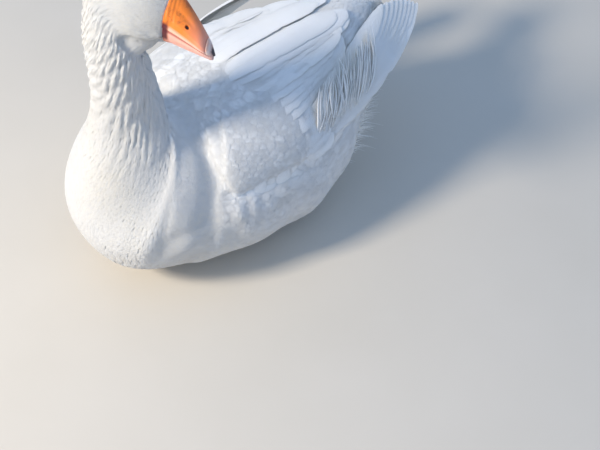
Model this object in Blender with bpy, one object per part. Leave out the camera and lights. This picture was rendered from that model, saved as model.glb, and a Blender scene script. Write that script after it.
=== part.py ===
"""Domestic goose resting on the floor: a life-size still model of solids.

The goose faces -Y, its left side is +X, +Z is up and it sits on z = 0.
Head, neck and body are one tube along a row of named stations, cut into nodes.
A place on the tube is (station, angle): the angle is 0 at the goose's left,
90 on its back, 180 at its right and 270 under the belly.
"""

import math

import bmesh
import bpy
import numpy as np

# Driving dimensions, in metres and degrees.
GAP = 0.0003                      # free space between solids that meet
SHELL_GAP = 0.0012                # space under a shell that follows the tube
TUBE_SIDES = 32                   # facets round the tube
HEAD_TURN = 118.0                 # the head looks over the goose's left shoulder
HEAD_LEAN = 31.0                  # and is cocked: the crown leans away, the right eye looks up
HEAD_NOD = -3.0
NAPE_JOINT = (-0.108, 0.344)      # the head nods and leans about this (y, z)
TURN_AXIS_Y = -0.116              # the upright axis that the neck twists about
HEAD_SHIFT = (-0.005, -0.020, -0.008)
NECK_SWAY = (0.006, 0.002, 0.0)  # the neck bows away from the turn
SWAY_STATION = 12.4
SWAY_REACH = 1.5
TURN_STATIONS = (8.0, 15.0)       # the twist starts and ends here
LEAN_STATIONS = (12.6, 15.6)

# Side outline: name, dorsal (y, z), ventral (y, z), half width, rise of the widest line.
STATIONS = [
    ("rump tip", (0.250, 0.186), (0.248, 0.150), 0.018, 0.00),
    ("rump", (0.214, 0.200), (0.205, 0.102), 0.050, 0.00),
    ("vent", (0.164, 0.208), (0.154, 0.038), 0.088, 0.00),
    ("paunch", (0.106, 0.212), (0.098, -0.002), 0.110, -0.05),
    ("loin", (0.050, 0.212), (0.045, -0.010), 0.121, -0.07),
    ("mid", (-0.005, 0.208), (-0.010, -0.007), 0.122, -0.05),
    ("shoulder", (-0.048, 0.204), (-0.070, 0.002), 0.113, -0.05),
    ("low breast", (-0.074, 0.206), (-0.134, 0.012), 0.101, -0.03),
    ("breast", (-0.086, 0.213), (-0.181, 0.040), 0.090, -0.06),
    ("crop", (-0.090, 0.226), (-0.199, 0.085), 0.075, -0.12),
    ("neck base", (-0.092, 0.242), (-0.186, 0.136), 0.0545, -0.05),
    ("low neck", (-0.091, 0.264), (-0.170, 0.186), 0.0415, 0.00),
    ("mid neck", (-0.089, 0.296), (-0.151, 0.240), 0.0340, 0.00),
    ("high neck", (-0.092, 0.331), (-0.153, 0.287), 0.0315, 0.00),
    ("nape", (-0.099, 0.366), (-0.157, 0.318), 0.0300, 0.00),
    ("occiput", (-0.109, 0.397), (-0.159, 0.3225), 0.0310, 0.10),
    ("crown", (-0.137, 0.415), (-0.168, 0.3280), 0.0305, 0.00),
    ("brow", (-0.170, 0.410), (-0.178, 0.3345), 0.0245, -0.08),
    ("bill base", (-0.1935, 0.3895), (-0.1860, 0.3375), 0.0165, -0.10),
]
RUMP_CUT, BREAST_CUT, NECK_CUT, UPPER_NECK_CUT, HEAD_CUT, BILL_CUT = 1.3, 7.0, 10.0, 12.2, 14.3, 18.0

# Bill: runs on from the last station.
BILL_LENGTH = 0.040               # along the culmen, seen from above
CHIN_LENGTH = 0.050
BILL_DROP = 0.015                 # the tip sits this far below a level bill
CULMEN_FALL = 0.0335
BILL_INSET = 0.0015               # the face's feathers stand this far above the bill's edge
CHIN_RISE = 0.002
GAPE_ANGLE = -28.0                # the mandibles meet at this angle of the section
NAIL_START = 0.86
BILL_WIDTHS = (0.0160, 0.0154, 0.0144, 0.0134, 0.0116, 0.0020)
NOSTRIL_PLACE = (0.45, 15.0)      # along the bill and angle of the section
NOSTRIL_RADII = (0.0018, 0.0048, 0.0021)

EYE_RADIUS = 0.0082
EYE_PLACE = (16.72, 25.0)         # station and angle
EYE_DEPTH = 0.0052                # the ball's centre lies this far under the cheek

# Wings: the arm's bulge, how far its rear stands off the body, and where its tips lie.
WING_FIT = {
    "left": {"side": 1, "bulge": 0.008, "stand": 0.006, "root_lift": 0.0035, "bow": 0.015,
             "secondary_end": 2.25, "outer_tip": (0.035, 0.313, 0.165), "inner_tip": (-0.008, 0.300, 0.186)},
    "right": {"side": -1, "bulge": 0.012, "stand": 0.028, "root_lift": 0.0180, "bow": 0.022,
              "secondary_end": 2.80, "outer_tip": (-0.108, 0.306, 0.158), "inner_tip": (-0.060, 0.290, 0.180)},
}
PRIMARY_GROUPS = {"outer": (0.00, 0.36, 1.00), "middle": (0.36, 0.70, 0.91), "inner": (0.70, 1.00, 0.80)}

TAIL_ROOT = (-0.009, 0.224, 0.172)
TAIL_LENGTH = 0.088
TAIL_RISE = 0.026
TAIL_SWING = -0.028               # the fan is carried a little to the goose's right
TAIL_ARCH = 0.006
TAIL_FEATHERS = 8
TAIL_HALF_WIDTHS = (0.022, 0.033)  # at the root and at the end

FOOT_X = 0.037
FOOT_HEEL_Y = 0.026
FOOT_LENGTH = 0.078
FOOT_HALF_WIDTHS = (0.007, 0.031)
SHANK_LENGTH = 0.084
SHANK_RADIUS = 0.0056

COLOURS = {
    "plumage": ((0.86, 0.85, 0.81), 0.85),
    "flight feather": ((0.88, 0.88, 0.86), 0.70),
    "bill horn": ((0.86, 0.30, 0.06), 0.40),
    "bill nail": ((0.80, 0.52, 0.42), 0.35),
    "eye": ((0.05, 0.11, 0.20), 0.08),
    "foot skin": ((0.85, 0.34, 0.08), 0.55),
}


def clear_scene():
    for item in list(bpy.data.objects):
        bpy.data.objects.remove(item, do_unlink=True)


def make_materials():
    made = {}
    for name, (colour, roughness) in COLOURS.items():
        material = bpy.data.materials.new(name)
        material.use_nodes = True
        shader = material.node_tree.nodes["Principled BSDF"]
        shader.inputs["Base Color"].default_value = (*colour, 1.0)
        shader.inputs["Roughness"].default_value = roughness
        shader.inputs["Metallic"].default_value = 0.0
        made[name] = material
    return made


def smooth_step(x):
    x = np.clip(x, 0.0, 1.0)
    return x * x * (3.0 - 2.0 * x)


def along(values, t):
    """Cubic Hermite curve through evenly numbered values, read at t."""
    values = np.asarray(values, dtype=float)
    slopes = np.gradient(values, axis=0)
    first = np.clip(np.floor(t).astype(int), 0, len(values) - 2)
    s = t - first
    if values.ndim > 1:
        s = s[..., None]
    start = values[first] * (1 + 2 * s) * (1 - s) ** 2 + slopes[first] * s * (1 - s) ** 2
    end = values[first + 1] * s ** 2 * (3 - 2 * s) + slopes[first + 1] * s ** 2 * (s - 1)
    return start + end


def head_pose(points, share, cocked):
    """Cocks the head about the nape, then turns and shifts it; both shares run 0 to 1."""
    lean, nod = np.radians(HEAD_LEAN) * cocked, np.radians(HEAD_NOD) * cocked
    turn = np.radians(HEAD_TURN) * share
    x, y, z = points[..., 0], points[..., 1] - NAPE_JOINT[0], points[..., 2] - NAPE_JOINT[1]
    x, z = np.cos(lean) * x + np.sin(lean) * z, np.cos(lean) * z - np.sin(lean) * x
    y, z = np.cos(nod) * y - np.sin(nod) * z, np.sin(nod) * y + np.cos(nod) * z
    y = y + NAPE_JOINT[0] - TURN_AXIS_Y
    turned = np.stack([np.cos(turn) * x - np.sin(turn) * y,
                       np.sin(turn) * x + np.cos(turn) * y + TURN_AXIS_Y, z + NAPE_JOINT[1]], -1)
    return turned + share[..., None] * np.array(HEAD_SHIFT)


def tube_point(t, angle):
    """The point of the goose's outer form at a station and an angle in degrees."""
    t, angle = np.broadcast_arrays(np.asarray(t, float), np.asarray(angle, float))
    dorsal = along([s[1] for s in STATIONS], t)
    ventral = along([s[2] for s in STATIONS], t)
    half_width = along([s[3] for s in STATIONS], t)
    widest = along([s[4] for s in STATIONS], t)
    sine = np.sin(np.radians(angle))
    height = sine + widest * (1 - sine ** 2)
    middle = (dorsal + ventral) / 2 + (dorsal - ventral) / 2 * height[..., None]
    x = half_width * np.cos(np.radians(angle))
    z = np.maximum(middle[..., 1], 0.0)
    share, cocked = [smooth_step((t - first) / (last - first)) for first, last in (TURN_STATIONS, LEAN_STATIONS)]
    sway = np.exp(-((t - SWAY_STATION) / SWAY_REACH) ** 2)
    posed = head_pose(np.stack([x, middle[..., 0], z], -1), share, cocked)
    return posed + sway[..., None] * np.array(NECK_SWAY)


def raised_point(t, angle, lift):
    """A point of the tube moved along the tube's outward normal."""
    step = 0.01
    t, angle, lift = np.broadcast_arrays(*[np.asarray(v, float) for v in (t, angle, lift)])
    back = np.clip(t, step, len(STATIONS) - 1 - step)
    lengthwise = tube_point(back + step, angle) - tube_point(back - step, angle)
    round_it = tube_point(t, angle + 1) - tube_point(t, angle - 1)
    normal = np.cross(round_it, lengthwise)
    normal /= np.linalg.norm(normal, axis=-1, keepdims=True)
    return tube_point(t, angle) + normal * lift[..., None]


def closed_mesh(name, points, faces):
    mesh = bpy.data.meshes.new(name)
    mesh.from_pydata([tuple(p) for p in points], [], faces)
    shape = bmesh.new()
    shape.from_mesh(mesh)
    bmesh.ops.recalc_face_normals(shape, faces=shape.faces)
    bmesh.ops.triangulate(shape, faces=[f for f in shape.faces if len(f.verts) > 4])
    shape.to_mesh(mesh)
    shape.free()
    mesh.shade_smooth()
    mesh.set_sharp_from_angle(angle=math.radians(40))
    return mesh


def add_object(name, mesh, material, parent):
    item = bpy.data.objects.new(name, mesh)
    item.data.materials.append(material)
    item.parent = parent
    bpy.context.collection.objects.link(item)
    return item


def ring_faces(rings, sides):
    """Quads of a tube of rings, with a fan from a middle point at each end."""
    faces = []
    for i in range(rings - 1):
        for j in range(sides):
            k = (j + 1) % sides
            faces.append((i * sides + j, i * sides + k, (i + 1) * sides + k, (i + 1) * sides + j))
    start, end = rings * sides, rings * sides + 1
    last = (rings - 1) * sides
    for j in range(sides):
        k = (j + 1) % sides
        faces.append((start, k, j))
        faces.append((end, last + j, last + k))
    return faces


def ring_mesh(name, rings):
    """A closed solid through rings of points, an array of (rings, sides, 3)."""
    ends = np.stack([rings[0].mean(0), rings[-1].mean(0)])
    points = np.concatenate([rings.reshape(-1, 3), ends])
    return closed_mesh(name, points, ring_faces(rings.shape[0], rings.shape[1]))


def shell_mesh(name, outer, inner):
    """A closed solid between two grids of points that share their rows and columns."""
    rows, columns = outer.shape[:2]
    count = rows * columns
    faces = []
    for i in range(rows - 1):
        for j in range(columns - 1):
            a, b = i * columns + j, i * columns + j + 1
            c, d = b + columns, a + columns
            faces.append((a, b, c, d))
            faces.append((count + d, count + c, count + b, count + a))
    rim = [j for j in range(columns)]
    rim += [i * columns + columns - 1 for i in range(1, rows)]
    rim += [(rows - 1) * columns + j for j in range(columns - 2, -1, -1)]
    rim += [i * columns for i in range(rows - 2, 0, -1)]
    for here, after in zip(rim, rim[1:] + rim[:1]):
        faces.append((after, here, count + here, count + after))
    return closed_mesh(name, np.concatenate([outer.reshape(-1, 3), inner.reshape(-1, 3)]), faces)


def plate_mesh(name, middle, thickness):
    """A closed plate of a given thickness on both sides of a grid of points."""
    normal = np.cross(np.gradient(middle, axis=0), np.gradient(middle, axis=1))
    normal /= np.linalg.norm(normal, axis=-1, keepdims=True)
    half = thickness[..., None] / 2
    return shell_mesh(name, middle + normal * half, middle - normal * half)


def cut(target, cutter):
    """Takes the cutter's shape out of the target and leaves the cutter as a wire guide."""
    cutter.hide_render = True
    cutter.display_type = "WIRE"
    modifier = target.modifiers.new("cut " + cutter.name, "BOOLEAN")
    modifier.operation = "DIFFERENCE"
    modifier.solver = "EXACT"
    modifier.object = cutter


def grid(rows, columns):
    """Two arrays that run 0 to 1, down the rows and across the columns."""
    return np.meshgrid(np.linspace(0, 1, rows), np.linspace(0, 1, columns), indexing="ij")


def hump(x, power=2):
    """1 in the middle of 0 to 1 and 0 at both ends."""
    return 1 - np.abs(2 * x - 1) ** power


def tube_node(name, first, last, rings, material, parent):
    """One length of the tube, with half of the gap taken off each flat end."""
    t = np.linspace(first, last, rings)[:, None]
    angle = np.arange(TUBE_SIDES)[None, :] * 360.0 / TUBE_SIDES
    points = tube_point(t, angle)
    quarter = TUBE_SIDES // 4
    for ring, inward in ((0, 1), (-1, -1)):
        across = points[ring, 0] - points[ring, 2 * quarter]
        upward = points[ring, quarter] - points[ring, 3 * quarter]
        normal = np.cross(across, upward)
        normal /= np.linalg.norm(normal)
        points[ring] += normal * inward * GAP / 2
    return add_object(name, ring_mesh(name, points), material, parent)


def body_shell(name, side, place, lift, shape, material, parent):
    """A shell that lies on the tube. place gives (station, angle) and lift the outer height."""
    s, q = grid(*shape)
    t, angle = place(s, q)
    if side < 0:
        angle = 180 - angle
    outer = raised_point(t, angle, SHELL_GAP + lift(s, q))
    inner = raised_point(t, angle, SHELL_GAP)
    return add_object(name, shell_mesh(name, outer, inner), material, parent)


def cover_edge(angle):
    """The station at which the wing coverts end and the flight feathers begin."""
    return 3.97 - 0.0067 * (angle - 21)


def build_wing_cover(word, fit, material, parent):
    """Arm of the folded wing with its coverts, from the wrist to the flight feathers."""
    def place(s, q):
        front = 6.78 - 0.40 * (2 * q - 1) ** 2
        angle = 21 + 45 * q
        return front + (cover_edge(angle) - front) * s, angle

    def lift(s, q):
        return 0.0028 + fit["bulge"] * hump(s, 4) * hump(q) + 0.7 * fit["stand"] * s ** 2 * (1 - 0.7 * q)
    body_shell("wing_cover_" + word, fit["side"], place, lift, (12, 8), material, parent)


def build_scapulars(word, fit, material, parent):
    def place(s, q):
        front = 6.30 - 0.50 * (2 * q - 1) ** 2
        return front + (4.33 - front) * s, 67 + 19 * q

    def lift(s, q):
        return 0.0025 + 0.25 * fit["bulge"] * hump(s, 4) * hump(q)
    body_shell("scapulars_" + word, fit["side"], place, lift, (10, 5), material, parent)


def build_tertials(word, fit, material, parent):
    """Long inner feathers that lie over the loin and end in a rounded point."""
    def place(s, q):
        rear = 1.45 + 0.75 * (2 * q - 1) ** 2
        return 4.30 + (rear - 4.30) * s, 67 + 19 * q - 4 * s * q

    def lift(s, q):
        return 0.0030 - 0.0012 * s
    body_shell("tertials_" + word, fit["side"], place, lift, (13, 5), material, parent)


def build_secondaries(word, fit, material, parent):
    def place(s, q):
        lower = 44.0 + 13 * s
        angle = lower + (65.8 - lower) * q
        front = cover_edge(44.0 + 21.8 * q) - 0.05
        rear = fit["secondary_end"] - 0.35 * q
        return front + (rear - front) * s, angle

    def lift(s, q):
        return 0.0030 - 0.0010 * s + fit["stand"] * (1 - q) * (0.6 + 0.2 * s)
    body_shell("secondaries_" + word, fit["side"], place, lift, (11, 7), material, parent)


def build_flank(word, fit, material, parent):
    """Flank feathers that close over the wing's lower edge and end in a rounded rear edge."""
    def place(s, q):
        rear = 2.45 + 0.55 * (2 * q - 1) ** 2
        return 6.92 + (rear - 6.92) * s, -50 + 68 * q

    def lift(s, q):
        folds = 0.0010 * np.cos(s * 6 * math.pi) * hump(q)
        return 0.0024 + 0.0035 * hump(s, 4) * hump(q) + folds
    body_shell("flank_" + word, fit["side"], place, lift, (13, 7), material, parent)


def build_primaries(word, fit, material, parent):
    """Three steps of the folded wing tip: bowed blades from the wing's edge to past the rump."""
    side = fit["side"]
    bow_way = np.array([0.93 * side, 0.0, 0.37])
    outer_tip, inner_tip = np.array(fit["outer_tip"]), np.array(fit["inner_tip"])
    for group, (start, end, reach) in PRIMARY_GROUPS.items():
        f, q = grid(12, 4)
        edge = 0.006
        across = start + edge + (end - start - 2 * edge) * q
        f = f * (reach - 0.05 * (2 * q - 1) ** 2)
        angle = 19.5 + 22.5 * across
        root = raised_point(3.60, angle if side > 0 else 180 - angle, fit["root_lift"])
        tip = outer_tip + (inner_tip - outer_tip) * across[..., None]
        bow = fit["bow"] * 4 * f * (1 - f)
        middle = root + (tip - root) * f[..., None] + bow_way * bow[..., None]
        thickness = 0.0030 - 0.0014 * f
        name = "primaries_" + group + "_" + word
        add_object(name, plate_mesh(name, middle, thickness), material, parent)


def tail_plate(name, margin):
    """The fan of tail feathers; the margin widens it on every side."""
    s, q = grid(6, 4 * TAIL_FEATHERS + 1) if margin == 0 else grid(4, 7)
    q = 2 * q - 1
    width = TAIL_HALF_WIDTHS[0] + (TAIL_HALF_WIDTHS[1] - TAIL_HALF_WIDTHS[0]) * s ** 0.7
    scallop = 0.0045 * np.abs(np.sin(q * math.pi * TAIL_FEATHERS / 2))
    length = (TAIL_LENGTH - 0.020 * q ** 2 + scallop) * s
    x = TAIL_ROOT[0] + TAIL_SWING * s + q * (width + margin)
    y = TAIL_ROOT[1] - margin + length
    z = TAIL_ROOT[2] + TAIL_RISE * s - TAIL_ARCH * q ** 2
    thickness = 0.0036 - 0.0018 * s + 2 * margin
    return plate_mesh(name, np.stack([x, y, z], -1), thickness)


def build_tail(rump, materials, parent):
    add_object("tail", tail_plate("tail", 0.0), materials["flight feather"], parent)
    slot = add_object("tail_slot", tail_plate("tail_slot", 5 * GAP), materials["plumage"], parent)
    cut(rump, slot)


def bill_section(s, angle):
    """Points of the closed bill at s (0 base, 1 tip) and an angle of the section."""
    base_top, base_bottom = np.array(STATIONS[-1][1]), np.array(STATIONS[-1][2])
    upward = (base_top - base_bottom) / np.linalg.norm(base_top - base_bottom)
    forward = np.array([-upward[1], upward[0]])
    base_top = base_top - BILL_INSET * upward + 1.5 * GAP * forward
    base_bottom = base_bottom + BILL_INSET * upward + 1.5 * GAP * forward
    top_y = base_top[0] - BILL_LENGTH * s
    bottom_y = base_bottom[0] - CHIN_LENGTH * s
    top_z = base_top[1] - BILL_DROP * s - CULMEN_FALL * s ** 1.3
    bottom_z = base_bottom[1] - BILL_DROP * s + CHIN_RISE * s ** 1.5
    close = np.sqrt(np.clip(1 - (np.clip(s - 0.90, 0, None) / 0.105) ** 2, 0.0, 1.0))
    height = np.sin(np.radians(angle))
    part = (1 + height * (0.15 + 0.85 * close)) / 2
    y = bottom_y + (top_y - bottom_y) * part
    z = bottom_z + (top_z - bottom_z) * part
    width = along(BILL_WIDTHS, s * (len(BILL_WIDTHS) - 1))
    taper = np.where(height > 0, 1 - 0.30 * height, 1.0)
    x = width * np.cos(np.radians(angle)) * taper
    return head_pose(np.stack([x, y, z], -1), np.ones_like(x), np.ones_like(x))


def bill_node(name, span, arc, shape, material, parent):
    s, q = grid(*shape)
    rings = bill_section(span[0] + (span[1] - span[0]) * s, arc[0] + (arc[1] - arc[0]) * q)
    return add_object(name, ring_mesh(name, rings), material, parent)


def build_bill(materials, parent):
    """Upper mandible, lower mandible and the nail that makes the tip of the upper one."""
    seam = 1.2
    upper = (GAPE_ANGLE + seam, 180 - GAPE_ANGLE - seam)
    lower = (180 - GAPE_ANGLE + seam, 360 + GAPE_ANGLE - seam)
    horn = materials["bill horn"]
    top = bill_node("bill_upper", (0.0, NAIL_START - 0.003), upper, (11, 17), horn, parent)
    bill_node("bill_nail", (NAIL_START + 0.003, 1.0), upper, (6, 17), materials["bill nail"], parent)
    bill_node("bill_lower", (0.0, 0.955), lower, (12, 10), horn, parent)
    for side in (1, -1):
        cut(top, nostril_cutter(side, parent))


def nostril_cutter(side, parent):
    """An oval a few millimetres long let into the side of the upper mandible."""
    step, angle = 0.02, NOSTRIL_PLACE[1] if side > 0 else 180 - NOSTRIL_PLACE[1]
    middle = bill_section(np.array(NOSTRIL_PLACE[0]), np.array(angle))
    forward = bill_section(np.array(NOSTRIL_PLACE[0] + step), np.array(angle)) - middle
    outward = middle - bill_section(np.array(NOSTRIL_PLACE[0]), np.array(180.0 - angle))
    axes = [outward / np.linalg.norm(outward), forward / np.linalg.norm(forward)]
    axes.append(np.cross(axes[0], axes[1]))
    shape = bmesh.new()
    bmesh.ops.create_uvsphere(shape, u_segments=10, v_segments=6, radius=1.0)
    points = np.array([tuple(v.co) for v in shape.verts]) * NOSTRIL_RADII
    for vert, point in zip(shape.verts, middle + points @ np.array(axes)):
        vert.co = tuple(point)
    mesh = bpy.data.meshes.new("nostril")
    shape.to_mesh(mesh)
    shape.free()
    cutter = bpy.data.objects.new("nostril_" + ("left" if side > 0 else "right"), mesh)
    cutter.parent = parent
    bpy.context.collection.objects.link(cutter)
    return cutter


def ball_mesh(name, radius):
    shape = bmesh.new()
    bmesh.ops.create_uvsphere(shape, u_segments=14, v_segments=8, radius=radius)
    mesh = bpy.data.meshes.new(name)
    shape.to_mesh(mesh)
    shape.free()
    mesh.shade_smooth()
    return mesh


def build_eyes(head, materials, parent):
    station, angle = EYE_PLACE
    for word, place in (("left", angle), ("right", 180 - angle)):
        centre = raised_point(station, place, -EYE_DEPTH)
        eye = add_object("eye_" + word, ball_mesh("eye", EYE_RADIUS), materials["eye"], parent)
        socket = add_object("socket_" + word, ball_mesh("socket", EYE_RADIUS + 2 * GAP),
                            materials["plumage"], parent)
        eye.location = tuple(centre)
        socket.location = tuple(centre)
        cut(head, socket)


def foot_mesh(name, side, margin):
    """Webbed foot flat on the floor with three toes; with a margin, its plain pocket."""
    s, q = grid(6, 17) if margin == 0 else grid(3, 5)
    q = 2 * q - 1
    width = FOOT_HALF_WIDTHS[0] + (FOOT_HALF_WIDTHS[1] - FOOT_HALF_WIDTHS[0]) * s ** 1.2
    toes = np.cos(q * 2 * math.pi) * 0.5 + 0.5 if margin == 0 else np.ones_like(q)
    reach = FOOT_LENGTH * (1 - 0.16 * q ** 2) - 0.010 * (1 - toes)
    x = side * FOOT_X + q * (width + margin)
    y = FOOT_HEEL_Y + margin - (reach + 2 * margin) * s
    height = 0.0022 + (0.0040 - 0.0018 * s) * toes + margin
    top = np.stack([x, y, height], -1)
    floor = -0.004 if margin > 0 else 0.0
    bottom = np.stack([x, y, np.full_like(x, floor)], -1)
    return shell_mesh(name, top, bottom)


def shank_mesh(name, side, margin):
    """The tarsus, folded flat along the floor behind the foot."""
    s, q = grid(7, 11)
    angle = 2 * math.pi * q[:, :-1]
    s = s[:, :-1]
    ends = np.sqrt(np.clip(hump(s, 8), 0.02, 1.0))
    radius = SHANK_RADIUS * ends * (1 + 0.25 * smooth_step((s - 0.75) / 0.2)) + margin
    x = side * FOOT_X + 0.004 * side * s + radius * np.cos(angle)
    y = FOOT_HEEL_Y + 3 * GAP - margin + (SHANK_LENGTH + 2 * margin) * s
    z = SHANK_RADIUS * 0.9 + radius * np.sin(angle)
    if margin == 0:
        z = np.maximum(z, 0.0)
    return ring_mesh(name, np.stack([x, y, z], -1))


def build_legs(trunk, materials, parent):
    """Feet and shanks tucked under the belly, in pockets that follow their shape."""
    skin = materials["foot skin"]
    for word, side in (("left", 1), ("right", -1)):
        for part, maker in (("foot", foot_mesh), ("shank", shank_mesh)):
            name = part + "_" + word
            add_object(name, maker(name, side, 0.0), skin, parent)
            pocket = add_object(part + "_pocket_" + word, maker(name, side, 4 * GAP), skin, parent)
            cut(trunk, pocket)


def build_goose():
    clear_scene()
    materials = make_materials()
    goose = bpy.data.objects.new("goose", None)
    bpy.context.collection.objects.link(goose)
    plumage, flight = materials["plumage"], materials["flight feather"]
    rump = tube_node("rump", 0.0, RUMP_CUT, 6, plumage, goose)
    trunk = tube_node("trunk", RUMP_CUT, BREAST_CUT, 17, plumage, goose)
    tube_node("breast", BREAST_CUT, NECK_CUT, 8, plumage, goose)
    tube_node("neck_lower", NECK_CUT, UPPER_NECK_CUT, 6, plumage, goose)
    tube_node("neck_upper", UPPER_NECK_CUT, HEAD_CUT, 6, plumage, goose)
    head = tube_node("head", HEAD_CUT, BILL_CUT, 12, plumage, goose)
    for word, fit in WING_FIT.items():
        build_wing_cover(word, fit, plumage, goose)
        build_scapulars(word, fit, plumage, goose)
        build_flank(word, fit, plumage, goose)
        build_tertials(word, fit, flight, goose)
        build_secondaries(word, fit, flight, goose)
        build_primaries(word, fit, flight, goose)
    build_tail(rump, materials, goose)
    build_bill(materials, goose)
    build_eyes(head, materials, goose)
    build_legs(trunk, materials, goose)


build_goose()
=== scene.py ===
# White domestic goose sitting on the floor, head turned over its left shoulder: a life-size museum model.
# The goose faces -Y, its left side is +X and the floor is z = 0. Head, neck and body are one form on which
# a place is (station, angle): the angle is 0 at the goose's left, 90 on its back, 180 right, 270 below.
import math
import time

import bpy
import numpy as np
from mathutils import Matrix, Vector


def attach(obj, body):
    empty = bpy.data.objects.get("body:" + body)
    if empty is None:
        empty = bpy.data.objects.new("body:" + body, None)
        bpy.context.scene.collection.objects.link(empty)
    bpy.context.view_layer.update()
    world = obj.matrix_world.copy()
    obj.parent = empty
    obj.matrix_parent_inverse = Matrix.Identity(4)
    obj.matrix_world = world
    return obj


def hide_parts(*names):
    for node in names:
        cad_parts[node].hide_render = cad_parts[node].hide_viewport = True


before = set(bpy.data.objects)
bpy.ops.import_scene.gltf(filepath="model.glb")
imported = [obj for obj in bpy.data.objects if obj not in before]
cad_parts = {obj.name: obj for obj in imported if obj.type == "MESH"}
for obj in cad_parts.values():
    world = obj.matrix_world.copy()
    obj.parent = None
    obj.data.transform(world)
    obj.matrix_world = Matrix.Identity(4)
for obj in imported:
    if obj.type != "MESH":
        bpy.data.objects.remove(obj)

startTime = time.time()
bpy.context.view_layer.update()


def report(words):
    print(f"[{time.time() - startTime:5.1f} s] {words}")


# small shaping functions

def smoothStep(x):
    # 3x^2 - 2x^3 between 0 and 1
    x = np.clip(x, 0.0, 1.0)
    return x * x * (3.0 - 2.0 * x)


def between(x, low, rise, high, fall):
    # starts at low and is 1 a rise further on; starts to drop a fall before high and is 0 there
    return smoothStep((x - low) / rise) * smoothStep((high - x) / fall)


def bell(x, width):
    # exp(-(x / width)^2)
    return np.exp(-(x / width) ** 2)


def hump(x, power=2):
    # 1 - |2x - 1|^power, zero at both ends of 0 to 1
    x = np.clip(x, 0.0, 1.0)
    return 1 - np.abs(2 * x - 1) ** power


def unit(vectors):
    # vectors divided by their own lengths
    return vectors / np.maximum(np.linalg.norm(vectors, axis=-1, keepdims=True), 1e-12)


def curveThrough(values, t):
    # cubic Hermite curve through evenly numbered values
    values = np.asarray(values, dtype=float)
    slopes = np.gradient(values, axis=0)
    first = np.clip(np.floor(t).astype(int), 0, len(values) - 2)
    s = t - first
    if values.ndim > 1:
        s = s[..., None]
    start = values[first] * (1 + 2 * s) * (1 - s) ** 2 + slopes[first] * s * (1 - s) ** 2
    end = values[first + 1] * s ** 2 * (3 - 2 * s) + slopes[first + 1] * s ** 2 * (s - 1)
    return start + end


def readGrid(grid, row, column):
    # bilinear reading of an array at fractional rows and columns; the columns run round
    i, j = row.astype(int), column.astype(int)
    fi, fj = (row - i)[..., None], (column - j)[..., None]
    j, k = j % grid.shape[1], (j + 1) % grid.shape[1]
    near = grid[i, j] * (1 - fj) + grid[i, k] * fj
    far = grid[i + 1, j] * (1 - fj) + grid[i + 1, k] * fj
    return near * (1 - fi) + far * fi


# body form

bodyForm = {
    "headTurn": 118.0, "headLean": 31.0, "headNod": -3.0,      # looks over the left shoulder, head cocked
    "turnAxisY": -0.116, "napeJoint": (-0.108, 0.344), "headShift": (-0.005, -0.020, -0.008),
    "neckSway": (0.006, 0.002, 0.0), "swayStation": 12.4, "swayReach": 1.5,
    "turnStations": (8.0, 15.0), "leanStations": (12.6, 15.6),
    "rowStep": 0.02, "columnStep": 0.5,          # how finely the form is kept, in stations and degrees
    "tailWay": (-0.25, 0.95, 0.20),              # the coat runs on this way past the rump
    "tailPace": 0.036,                           # metres per station there
    # back (y, z), belly (y, z), half width, rise of the widest line
    "stations": [
        (0.250, 0.186, 0.248, 0.150, 0.018, 0.00),     # rump tip
        (0.214, 0.200, 0.205, 0.102, 0.050, 0.00),
        (0.164, 0.208, 0.154, 0.038, 0.088, 0.00),
        (0.106, 0.212, 0.098, -0.002, 0.110, -0.05),
        (0.050, 0.212, 0.045, -0.010, 0.121, -0.07),
        (-0.005, 0.208, -0.010, -0.007, 0.122, -0.05),  # mid body
        (-0.048, 0.204, -0.070, 0.002, 0.113, -0.05),
        (-0.074, 0.206, -0.134, 0.012, 0.101, -0.03),
        (-0.086, 0.213, -0.181, 0.040, 0.090, -0.06),   # breast
        (-0.090, 0.226, -0.199, 0.085, 0.075, -0.12),
        (-0.092, 0.242, -0.186, 0.136, 0.0545, -0.05),  # neck base
        (-0.091, 0.264, -0.170, 0.186, 0.0415, 0.00),
        (-0.089, 0.296, -0.151, 0.240, 0.0340, 0.00),
        (-0.092, 0.331, -0.153, 0.287, 0.0315, 0.00),
        (-0.099, 0.366, -0.157, 0.318, 0.0300, 0.00),   # nape
        (-0.109, 0.397, -0.159, 0.3225, 0.0310, 0.10),
        (-0.137, 0.415, -0.168, 0.3280, 0.0305, 0.00),  # crown
        (-0.170, 0.410, -0.178, 0.3345, 0.0245, -0.08),
        (-0.1935, 0.3895, -0.1860, 0.3375, 0.0165, -0.10),  # bill base
    ],
}
lastStation = float(len(bodyForm["stations"]) - 1)

wings = {
    "left": {"side": 1, "bulge": 0.008, "stand": 0.006, "bow": 0.015, "secondaryEnd": 2.25,
             "outerTip": (0.035, 0.313, 0.165), "innerTip": (-0.008, 0.300, 0.186)},
    "right": {"side": -1, "bulge": 0.012, "stand": 0.028, "bow": 0.022, "secondaryEnd": 2.80,
              "outerTip": (-0.108, 0.306, 0.158), "innerTip": (-0.060, 0.290, 0.180)},
}


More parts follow.
